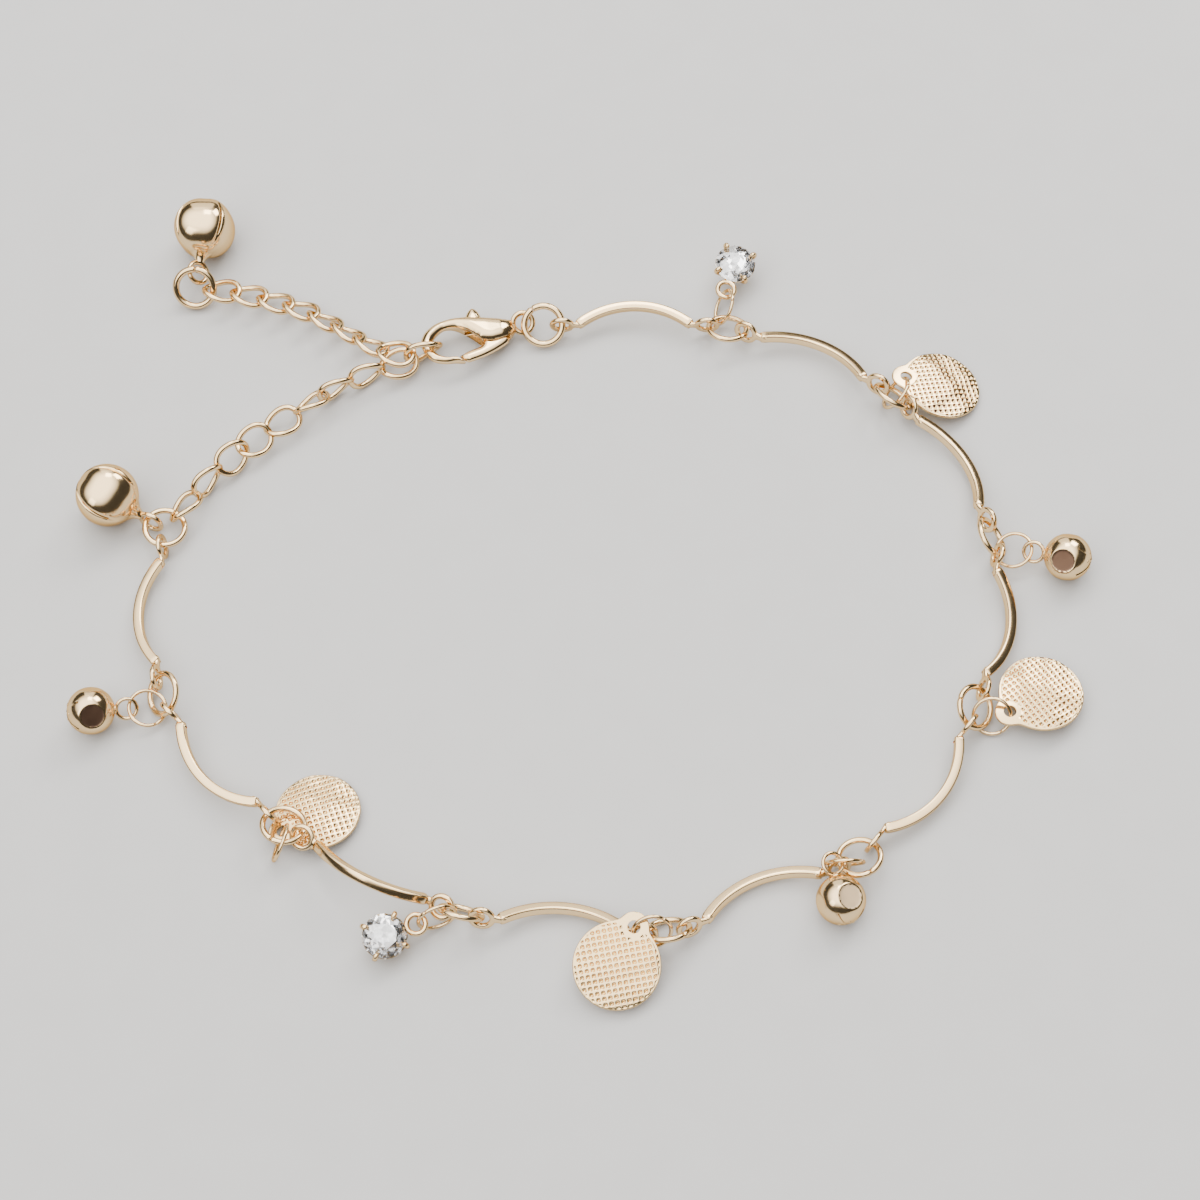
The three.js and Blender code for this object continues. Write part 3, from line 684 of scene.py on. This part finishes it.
def in_dimple(middle):
    """Whether a face of a small bell lies in one of its two dishes, which take a painted tone: painted
    shade, or a hatched finish with a painted highlight.
    """
    off_middle = math.hypot(middle.x - SMALL_BELL_REACH, middle.y)
    beyond_hollow, border = 1.6, 0.08
    return abs(middle.z) > beyond_hollow and off_middle < DIMPLE_RADIUS - border


def big_bell_parts(turn):
    """A bell of four pillow-like petals, turned about its length."""
    power, crease_width, crease_depth = 2.8, 0.09, 0.1

    def shape(directions):
        around = np.arctan2(directions[:, 2], directions[:, 1]) - turn
        waist = np.sqrt(np.clip(1 - directions[:, 0] ** 2, 0, 1))
        square = (np.abs(np.cos(around)) ** power + np.abs(np.sin(around)) ** power) ** (1 / power)
        off_neck = np.clip((directions[:, 0] + 0.85) / 0.5, 0, 1)
        crease = np.exp(-((np.cos(2 * around) / crease_width) ** 2)) * off_neck * waist
        blend = 1 - 0.75 * waist * (1 - square)
        return (BIG_BELL_RADIUS - crease_depth) / blend - crease_depth * crease

    hollow = hollow_ball(BIG_BELL_HOLLOW, rows=32, columns=48)
    slots = crossed_slots(start=-1.3, width=0.22, length=6.6, height=12, turn=turn)
    outer = closed_ball(shape, rows=110, columns=200)
    points, faces = cut_part("big_bell", outer, [hollow, *slots])
    a = angles(24)
    rows = zip(BIG_BELL_NECK["radius"], BIG_BELL_NECK["ahead"])
    neck = np.vstack([np.c_[np.full(24, x), r * np.cos(a), r * np.sin(a)] for r, x in rows])
    return [
        (points + [BIG_BELL_REACH, 0, 0], faces),
        (neck, grid_faces(len(BIG_BELL_NECK["radius"]), 24)),
        wire_ring(BIG_LOOP_RADIUS, BIG_LOOP_WIRE, steps=56),
    ]


# ---- chain links --------------------------------------------------------------------------------
def link_part(pose, steps=72, sides=12):
    """One oval chain link, twisted, in its pose."""
    a_half, b_half = (LINK_LENGTH - LINK_WIRE) / 2, (LINK_WIDTH - LINK_WIRE) / 2
    t = angles(steps)
    path = np.c_[a_half * np.cos(t), b_half * np.sin(t), LINK_TWIST * np.sin(2 * t)]
    outward = np.c_[b_half * np.cos(t), a_half * np.sin(t), 0 * t]
    outward /= np.linalg.norm(outward, axis=1)[:, None]
    tangent = np.c_[-a_half * np.sin(t), b_half * np.cos(t), 2 * LINK_TWIST * np.cos(2 * t)]
    tangent /= np.linalg.norm(tangent, axis=1)[:, None]
    section = circle(LINK_WIRE / 2, sides)
    points, faces = sweep(path, outward, np.cross(outward, tangent), section, closed=True)
    matrix = np.array(pose)
    return points @ matrix[:3, :3].T + matrix[:3, 3], faces


# ---- the clasp's two cast pieces ----------------------------------------------------------------
# Outlines are (x, y) points with X from the hook to the eye. Smooth stretches run through them.
HOOK_OUTSIDE = [
    (3.7, -3.4), (2.8, -3.22), (1.8, -3.15), (0.85, -2.8), (0.2, -2.1), (-0.1, -1.2), (-0.15, -0.5),
    (0.4, 0.55), (1.5, 1.36), (2.9, 1.68), (4.4, 1.55), (5.9, 1.2), (8.95, 0.5),
]
HOOK_INSIDE = [
    (8.95, -0.7), (8.25, -1.4), (7.45, -1.67), (6.5, -1.73), (5.45, -1.4), (5, -0.95), (4.2, -0.15),
    (3.3, 0.5), (2.35, 0.63), (1.5, 0.1), (0.95, -0.6), (0.85, -1.3), (1.2, -2), (1.85, -2.45),
    (2.5, -2.6), (3.05, -2.68),
]
LEVER_OUTLINE = [
    (3.86, -3.4), (5.5, -3), (7, -2.4), (8.1, -1.7), (7.9, -1), (7.6, 0), (7, 0.5), (6.2, 0.9),
    (5.95, 1.4), (5.75, 2.1), (5.26, 2.6), (4.75, 2.2), (4.45, 1.4), (4.7, 0.5), (5.3, -0.4),
    (5.6, -1.2), (5.4, -1.85), (4.6, -2.1), (4, -2.3), (3.22, -2.66),
]
CLASP_PIN_PROFILE = {
    "radius": [0.01, 0.3, 0.3, 0.01],
    "height": [-0.9, -0.9, 0.9, 0.9],
}
CLASP_DEPTH = {  # how thick the body is along its length
    "ahead": [-1, 2.2, 4.6, 6.2, 7.6, 9.4],
    "thickness": [1.12, 1.2, 2.1, 2.28, 2.08, 1.02],
}


def spline(points, steps=8):
    """Catmull-Rom curve through the points."""
    p = np.array(points, float)
    p = np.vstack([2 * p[0] - p[1], p, 2 * p[-1] - p[-2]])
    curve = []
    for k in range(1, len(p) - 2):
        a, b, c, d = p[k - 1 : k + 3]
        for t in np.linspace(0, 1, steps, endpoint=False):
            bend = (2 * a - 5 * b + 4 * c - d) * t**2 + (3 * b - a - 3 * c + d) * t**3
            curve.append(0.5 * (2 * b + (c - a) * t + bend))
    return np.array(curve)


def edge_distance(points, outlines):
    """Distance of each point to the nearest of some closed outlines."""
    best = np.full(len(points), np.inf)
    for outline in outlines:
        for start, way in zip(outline, np.roll(outline, -1, 0) - outline):
            t = np.clip(((points - start) @ way) / (way @ way + 1e-12), 0, 1)
            best = np.minimum(best, np.linalg.norm(points - start - np.outer(t, way), axis=1))
    return best


def cast_points(outlines, spacing):
    """The outlines, rows of points close to them on both sides, and a grid over the rest."""
    every = np.vstack(outlines)
    candidates = []
    for outline in outlines:
        way = np.roll(outline, -1, 0) - np.roll(outline, 1, 0)
        way /= np.linalg.norm(way, axis=1)[:, None] + 1e-12
        for side in (1, -1):
            normal = np.c_[-way[:, 1], way[:, 0]] * side
            for depth in (0.02, 0.06, 0.12, 0.2, 0.3):
                candidates.append((outline + normal * depth, depth))
    lo, hi = every.min(0), every.max(0)
    grid = np.meshgrid(np.arange(lo[0], hi[0], spacing), np.arange(lo[1], hi[1], spacing))
    candidates.append((np.c_[grid[0].ravel(), grid[1].ravel()], 0.36))
    near = 0.93  # a point is left out where another edge is closer than its depth
    kept = [points[edge_distance(points, outlines) > near * depth] for points, depth in candidates]
    return np.vstack([every, *kept])


def cast_part(outline, thickness, rounding, power, hole=None, spacing=0.14):
    """A flat cast piece with rounded edges, with a round hole if one is given."""
    outlines = [outline] if hole is None else [outline, hole]
    edges, start = [], 0
    for loop in outlines:
        edges += [(start + k, start + (k + 1) % len(loop)) for k in range(len(loop))]
        start += len(loop)
    points = [Vector(point) for point in cast_points(outlines, spacing)]
    shape = delaunay_2d_cdt(points, edges, [list(range(len(outline)))], 1, 1e-4)
    flat = np.array([vertex[:] for vertex in shape[0]])
    triangles = [tuple(face) for face in shape[2]]
    if hole is not None:
        radius = np.linalg.norm(hole - hole.mean(0), axis=1).mean()
        middles = np.array([flat[list(face)].mean(0) for face in triangles])
        outside = np.linalg.norm(middles - hole.mean(0), axis=1) > radius * 0.99
        triangles = [face for face, keep in zip(triangles, outside) if keep]
    depth = edge_distance(flat, outlines)
    share = np.clip(depth / rounding, 0, 1)
    height = thickness(flat) / 2 * (1 - (1 - share) ** power) ** (1 / power)
    count = len(flat)
    lower = [k if depth[k] < 1e-4 else k + count for k in range(count)]
    underside = [tuple(lower[i] for i in face[::-1]) for face in triangles]
    return np.vstack([np.c_[flat, height], np.c_[flat, -height]]), triangles + underside


def clasp_eye():
    """The eye at the end of the clasp, tipped about its length."""
    steps, tip = 60, math.radians(CLASP_EYE_TIP)
    a = angles(steps)
    ahead = np.array([1.0, 0, 0])
    away = np.array([0, math.cos(tip), math.sin(tip)])
    radial = np.outer(np.cos(a), ahead) + np.outer(np.sin(a), away)
    binormals = np.tile(np.cross(ahead, away), (steps, 1))
    path = radial * CLASP_EYE_RADIUS + [*CLASP_EYE, 0]
    section = superellipse(0.26, 0.25, power=2.6, sides=16)
    return sweep(path, radial, binormals, section, closed=True)


def clasp_body_parts():
    heel = [(8.95, 0.5), (8.95, -0.1)]
    beak = [(3.05, -2.68), (3.4, -3.05)]
    outline = np.vstack([spline(HOOK_OUTSIDE), heel, spline(HOOK_INSIDE), beak])

    def thickness(points):
        return np.interp(points[:, 0], CLASP_DEPTH["ahead"], CLASP_DEPTH["thickness"])

    lever_slot = block((4.2, 4, LEVER_SLOT), (6.2, -1.3, 0))
    nub_slot = block((3.1, 4, LEVER_SLOT), (5.65, 2.5, 0))
    cast = cast_part(outline, thickness, rounding=1.0, power=2.1)
    body = cut_part("clasp_body", cast, [lever_slot, nub_slot])
    profile = CLASP_PIN_PROFILE
    pin = revolve(profile["radius"], profile["height"], 28, [*CLASP_PIN, 0])
    return [body, clasp_eye(), pin]


def clasp_lever_part():
    gate_end = [(3.22, -2.66), (3.5, -3.0)]
    outline = np.vstack([spline(LEVER_OUTLINE), gate_end])
    hole = circle(LEVER_HOLE_RADIUS, 28) + CLASP_PIN

    def thickness(points):
        return np.full(len(points), LEVER_THICKNESS)

    return cast_part(outline, thickness, rounding=0.55, power=2.0, hole=hole)


# ---- materials ----------------------------------------------------------------------------------
def node(tree, kind, **inputs):
    """A new node; an input's name has _ for each space."""
    made = tree.nodes.new(kind)
    for key, value in inputs.items():
        made.inputs[key.replace("_", " ")].default_value = value
    return made


def vector_math(tree, operation, *sources):
    """A vector operation on sockets or plain vectors."""
    made = tree.nodes.new("ShaderNodeVectorMath")
    made.operation = operation
    for k, source in enumerate(sources):
        if isinstance(source, tuple):
            made.inputs[k].default_value = source
        else:
            tree.links.new(source, made.inputs[k])
    return made


def texture(tree, kind, **inputs):
    """A texture that stays fixed to its object."""
    made = node(tree, kind, **inputs)
    place = tree.nodes.new("ShaderNodeTexCoord")
    tree.links.new(place.outputs["Object"], made.inputs["Vector"])
    return made


def vary(tree, source, target, low, high, start=0.0, end=1.0):
    """Runs an input from low to high as the source goes from start to end."""
    span = node(tree, "ShaderNodeMapRange", From_Min=start, From_Max=end, To_Min=low, To_Max=high)
    tree.links.new(source, span.inputs["Value"])
    tree.links.new(span.outputs["Result"], target)


def new_material(name):
    """A material with its node tree and its shader."""
    material = bpy.data.materials.new(name)
    material.use_nodes = True
    return material, material.node_tree, material.node_tree.nodes["Principled BSDF"]


def metal(name, colour, roughness, grain=0.0, edge=(0.8, 0.6, 0.36, 1)):
    """Polished plated metal with faint handling marks; grain roughens it to a hatched finish."""
    material, tree, shader = new_material(name)
    shader.inputs["Metallic"].default_value = 1.0
    shader.inputs["Specular Tint"].default_value = edge
    fine = texture(tree, "ShaderNodeTexNoise", Scale=900.0, Detail=4.0)
    broad = texture(tree, "ShaderNodeTexNoise", Scale=260.0, Detail=2.0)
    tint = tree.nodes.new("ShaderNodeMix")
    tint.data_type = "RGBA"
    tint.inputs["A"].default_value = (*colour, 1)
    tint.inputs["B"].default_value = (*(0.93 * c for c in colour), 1)
    tree.links.new(broad.outputs["Fac"], tint.inputs["Factor"])
    tree.links.new(tint.outputs["Result"], shader.inputs["Base Color"])
    vary(tree, fine.outputs["Fac"], shader.inputs["Roughness"], roughness * 0.75, roughness * 1.35)
    bump = node(tree, "ShaderNodeBump", Strength=0.06 + grain, Distance=0.02 * MM)
    tree.links.new(fine.outputs["Fac"], bump.inputs["Height"])
    tree.links.new(bump.outputs["Normal"], shader.inputs["Normal"])
    return material


def faceted_stone(name, metallic, size, tilt, roughness):
    """Clear stone with a silvery share and small facets, each of which faces a way of its own."""
    material, tree, shader = new_material(name)
    shader.inputs["Base Color"].default_value = (0.94, 0.945, 0.96, 1)
    shader.inputs["IOR"].default_value = 1.7
    shader.inputs["Transmission Weight"].default_value = 1.0
    shader.inputs["Metallic"].default_value = metallic
    cells = texture(tree, "ShaderNodeTexVoronoi", Scale=1 / (size * MM))
    centred = vector_math(tree, "SUBTRACT", cells.outputs["Color"], (0.5, 0.5, 0.5))
    lean = vector_math(tree, "SCALE", centred.outputs["Vector"])
    lean.inputs["Scale"].default_value = tilt
    surface = tree.nodes.new("ShaderNodeNewGeometry")
    tilted = vector_math(tree, "ADD", surface.outputs["Normal"], lean.outputs["Vector"])
    whole = vector_math(tree, "NORMALIZE", tilted.outputs["Vector"])
    tree.links.new(whole.outputs["Vector"], shader.inputs["Normal"])
    noise = texture(tree, "ShaderNodeTexNoise", Scale=400.0)
    vary(tree, noise.outputs["Fac"], shader.inputs["Roughness"], roughness * 0.5, roughness * 1.5)
    return material


gold = metal("champagne_gold", (0.88, 0.64, 0.35), 0.15)
relief_gold = metal("relief_gold", (0.87, 0.63, 0.33), 0.13)
# Partly painted highlight: a real hatched finish whose colour is paler than the gold, so the dishes look
# bright where they mirror a dark sky.
hatched_painted_highlight_gold = metal("hatched_painted_highlight_gold", (0.92, 0.7, 0.44), 0.5, grain=0.9)
# Painted shade: a dark copy of the gold for the dishes of two small bells. It stands for the dark surround
# that they mirror.
painted_shade_gold = metal("painted_shade_gold", (0.2, 0.12, 0.08), 0.34, grain=0.5, edge=(0.4, 0.26, 0.18, 1))
crystal = faceted_stone("crystal", 0.5, size=0.42, tilt=0.4, roughness=0.05)
foil = faceted_stone("foil", 1.0, size=0.42, tilt=0.6, roughness=0.16)

# ---- bars, rings and charms on the frame --------------------------------------------------------
# Turns are in degrees: of a disc's grid and waves, and of a large bell about its length.
DISC_TURNS = {"disc_2": 20, "disc_4": 0, "disc_6": 35, "disc_8": -14}
BIG_BELL_TURNS = {"bell_10": -23, "bell_end": 42}
# Colours for the two dishes of each small bell: painted shade on bell_3 and bell_9, and on bell_5 a hatched
# finish with a painted highlight.
SMALL_BELL_DIMPLES = {"bell_3": painted_shade_gold, "bell_5": hatched_painted_highlight_gold, "bell_9": painted_shade_gold}
STOUT_RINGS = ["clasp_ring", "end_ring"]

names = sorted(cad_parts)


def joint_turn():
    """Turns a ring's butt joint to some place round it."""
    return Matrix.Rotation(random.uniform(0.6, 2.4), 4, "Z")


for name in names:
    if name.startswith("bar_"):
        add_piece(name, bar_parts(), bar_pose(name), gold)

for name in [n for n in names if n.startswith("ring_")] + STOUT_RINGS:
    wire = STOUT_WIRE if name in STOUT_RINGS else RING_WIRE
    part = wire_ring(RING_RADIUS, wire, RING_GAP)
    add_piece(name, [part], ring_pose(name) @ joint_turn(), gold)
for name in [n for n in names if n.startswith("charm_ring_")]:
    part = wire_ring(CHARM_RING_RADIUS, CHARM_RING_WIRE, CHARM_RING_GAP, sides=12)
    add_piece(name, [part], ring_pose(name) @ joint_turn(), gold)

for name, turn in DISC_TURNS.items():
    add_piece(name, [disc_part(math.radians(turn))], disc_pose(name), relief_gold)

for number in (1, 7):
    pose = crystal_pose(number)
    silvered = (foil, in_pavilion)
    add_piece(f"setting_{number}", setting_parts(), pose, gold)
    add_piece(f"stone_{number}", [stone_part()], pose, crystal, flat=True, second=silvered)

small_bell = small_bell_parts()
# Each small bell's dishes get the painted tone from the table above.
for name, dish_painted_tone in SMALL_BELL_DIMPLES.items():
    pose = bell_pose(name, SMALL_LOOP_OUTER)
    add_piece(name, small_bell, pose, gold, second=(dish_painted_tone, in_dimple))
for name, turn in BIG_BELL_TURNS.items():
    pose = bell_pose(name, BIG_LOOP_OUTER)
    add_piece(name, big_bell_parts(math.radians(turn)), pose, gold)

# ---- the extension chain and the clasp ----------------------------------------------------------
# Places in the layout that the part was drawn in. Lengths are in millimetres and angles in degrees.
HOOKED_LINK_AT = np.array([-14.85, 27.43, 1.6])
CHAIN_A_END_AT = np.array([-17.2, 26.47, 0])
CHAIN_B_START_AT = np.array([-17.4, 27.24, 0])
CLASP_AT = np.array([-14.95, 28.65, 1.75])
RING_10 = {"bearing": -286, "lean": -8, "aside": 0.3}
HOOKED_LINK = {"bearing": 198, "lean": -80}
CLASP = {"bearing": 7.3, "climb": -3.5}

CHAIN_BOW = 18  # half of the turn of the bow that chain_a lies in
START_PITCH = 2.61  # from the last joint to the first link
LOOSE_PITCH = 2.68  # between two stretches
TAIL_PITCH = 2.72  # within a stretch of the tail
STRETCH_A = 3  # links in each stretch
STRETCH_B = 4
CHAIN_A = [  # from ring_10 to the hooked link
    {"lean": 36, "height": 1.35},
    {"lean": 92, "height": 1.65},
    {"lean": 122, "height": 1.55},
    {"lean": 160, "height": 1.4},
    {"lean": 180, "height": 1.2},
    {"lean": 220, "height": 1.4},
    {"lean": 258, "height": 1.65},
    {"lean": 268, "height": 1.5},
    {"lean": 347, "height": 1.1},
]
CHAIN_B = [  # from the hooked link to the end ring
    {"heading": 161, "lean": -8, "height": 1.8},
    {"heading": 143, "lean": -40, "height": 1.6},
    {"heading": 141, "lean": -45, "height": 1.5},
    {"heading": 143, "lean": -40, "height": 1.4},
    {"heading": 151, "lean": -30, "height": 1.45},
    {"heading": 156, "lean": -25, "height": 1.3},
    {"heading": 160, "lean": -20, "height": 1.3},
    {"heading": 168, "lean": -15, "height": 1.35},
]

hooked = node_points("hooked_link").mean(0)
layout_origin = hooked - HOOKED_LINK_AT


def chain_a_poses():
    """Links along a bow, from the last joint of the loop to the hooked link."""
    ring = node_points("ring_10").mean(0)
    ring_matrix = np.array(lean_pose(ring, along(RING_10["bearing"]), RING_10["lean"]))
    joint = ring - RING_10["aside"] * ring_matrix[:3, 1]
    chord = (layout_origin + CHAIN_A_END_AT - joint)[:2]
    heading = math.degrees(math.atan2(chord[1], chord[0]))
    radius = np.linalg.norm(chord) / 2 / math.sin(math.radians(CHAIN_BOW))
    length = 2 * math.radians(CHAIN_BOW) * radius
    loose = len(CHAIN_A) // STRETCH_A - 1
    soldered = len(CHAIN_A) - 1 - loose
    pitch = (length - START_PITCH - loose * LOOSE_PITCH) / soldered
    bow_middle = joint - left_of(along(heading + CHAIN_BOW)) * radius
    travelled, poses = START_PITCH, []
    for k, link in enumerate(CHAIN_A):
        if k > 0:
            travelled += LOOSE_PITCH if k % STRETCH_A == 0 else pitch
        turn = heading + CHAIN_BOW * (1 - 2 * travelled / length)
        middle = bow_middle + left_of(along(turn)) * radius
        middle[2] = layout_origin[2] + link["height"]
        poses.append(lean_pose(middle, along(turn), link["lean"]))
    return poses


def chain_b_poses():
    """Links of the free tail, each laid on from the one before."""
    middle = layout_origin + CHAIN_B_START_AT
    before, poses = CHAIN_B[0]["heading"], []
    for k, link in enumerate(CHAIN_B):
        if k > 0:
            pitch = LOOSE_PITCH if k % STRETCH_B == 0 else TAIL_PITCH
            middle = middle + pitch * along((before + link["heading"]) / 2)
        before = link["heading"]
        middle[2] = layout_origin[2] + link["height"]
        poses.append(lean_pose(middle, along(link["heading"]), link["lean"]))
    return poses


in_place = Matrix.Identity(4)  # links are posed one by one
for name, poses, size in (("chain_a", chain_a_poses(), STRETCH_A), ("chain_b", chain_b_poses(), STRETCH_B)):
    for number in range(len(poses) // size):
        links = [link_part(pose) for pose in poses[number * size : (number + 1) * size]]
        add_piece(f"{name}_{number + 1}", links, in_place, gold)
hooked_pose = lean_pose(hooked, along(HOOKED_LINK["bearing"]), HOOKED_LINK["lean"])
add_piece("hooked_link", [link_part(hooked_pose)], in_place, gold)

clasp_pose = lean_pose(layout_origin + CLASP_AT, aim(CLASP["bearing"], CLASP["climb"]), lean=0)
add_piece("clasp_body", clasp_body_parts(), clasp_pose, gold)
add_piece("clasp_lever", [clasp_lever_part()], clasp_pose, gold, body="lever")

# ---- floor, sky, lights and camera, in metres ---------------------------------------------------
FLOOR_REACH = 1.5
LIGHTS = [
    {"name": "top_box", "place": (0.02, 0.34, 0.52), "size": 0.2, "power": 1.0},
    {"name": "side_key", "place": (0.30, 0.36, 0.40), "size": 0.24, "power": 2.2},
    {"name": "back_box", "place": (-0.05, 0.62, 0.30), "size": 0.4, "power": 0.9},
    {"name": "left_box", "place": (-0.42, -0.30, 0.36), "size": 0.24, "power": 0.6},
]
CAMERA_DISTANCE = 0.2421
CAMERA_TILT = math.radians(29.5)
CAMERA_ROLL = math.radians(-4.3)
CAMERA_ANGLE = math.radians(25.06)

paper, paper_tree, paper_shader = new_material("pale_paper")
paper_shader.inputs["Roughness"].default_value = 0.9
paper_noise = texture(paper_tree, "ShaderNodeTexNoise", Scale=220.0)
vary(paper_tree, paper_noise.outputs["Fac"], paper_shader.inputs["Base Color"], 0.48, 0.51)
floor_mesh = bpy.data.meshes.new("floor")
floor_corners = [(FLOOR_REACH * x, FLOOR_REACH * y, 0) for x, y in ((-1, -1), (1, -1), (1, 1), (-1, 1))]
floor_mesh.from_pydata(floor_corners, [], [(0, 1, 2, 3)])
floor_mesh.materials.append(paper)
floor = bpy.data.objects.new("floor", floor_mesh)
bpy.context.collection.objects.link(floor)

# A dark room below a bright ceiling, which leans a little to the left.
world = bpy.data.worlds.new("studio")
world.use_nodes = True
sky = world.node_tree
backdrop = sky.nodes["Background"]
backdrop.inputs["Color"].default_value = (1.0, 0.98, 0.95, 1)
sky_place = sky.nodes.new("ShaderNodeTexCoord")
ceiling = vector_math(sky, "DOT_PRODUCT", sky_place.outputs["Generated"], (-0.2, 0.0, 0.98))
vary(sky, ceiling.outputs["Value"], backdrop.inputs["Strength"], 0.07, 4.6, start=0.56, end=0.9)
bpy.context.scene.world = world


def soft_light(name, place, size, power):
    """A square area light that faces the middle of the anklet."""
    light = bpy.data.lights.new(name, "AREA")
    light.shape = "SQUARE"
    light.size = size
    light.energy = power
    light.color = (1.0, 0.97, 0.93)
    lamp = bpy.data.objects.new(name, light)
    lamp.location = place
    lamp.rotation_euler = (-Vector(place)).to_track_quat("-Z", "Y").to_euler()
    bpy.context.collection.objects.link(lamp)


for row in LIGHTS:
    soft_light(**row)

camera_data = bpy.data.cameras.new("camera")
camera_data.angle = CAMERA_ANGLE
camera_data.clip_start = 0.01
camera = bpy.data.objects.new("camera", camera_data)
bpy.context.collection.objects.link(camera)
seen_from = np.array([0, -math.sin(CAMERA_TILT), math.cos(CAMERA_TILT)])
camera_axes = Matrix.Rotation(CAMERA_TILT, 4, "X") @ Matrix.Rotation(CAMERA_ROLL, 4, "Z")
camera_place = CAMERA_DISTANCE * seen_from + layout_origin * MM
camera.matrix_world = Matrix.Translation(Vector(camera_place)) @ camera_axes
bpy.context.scene.camera = camera
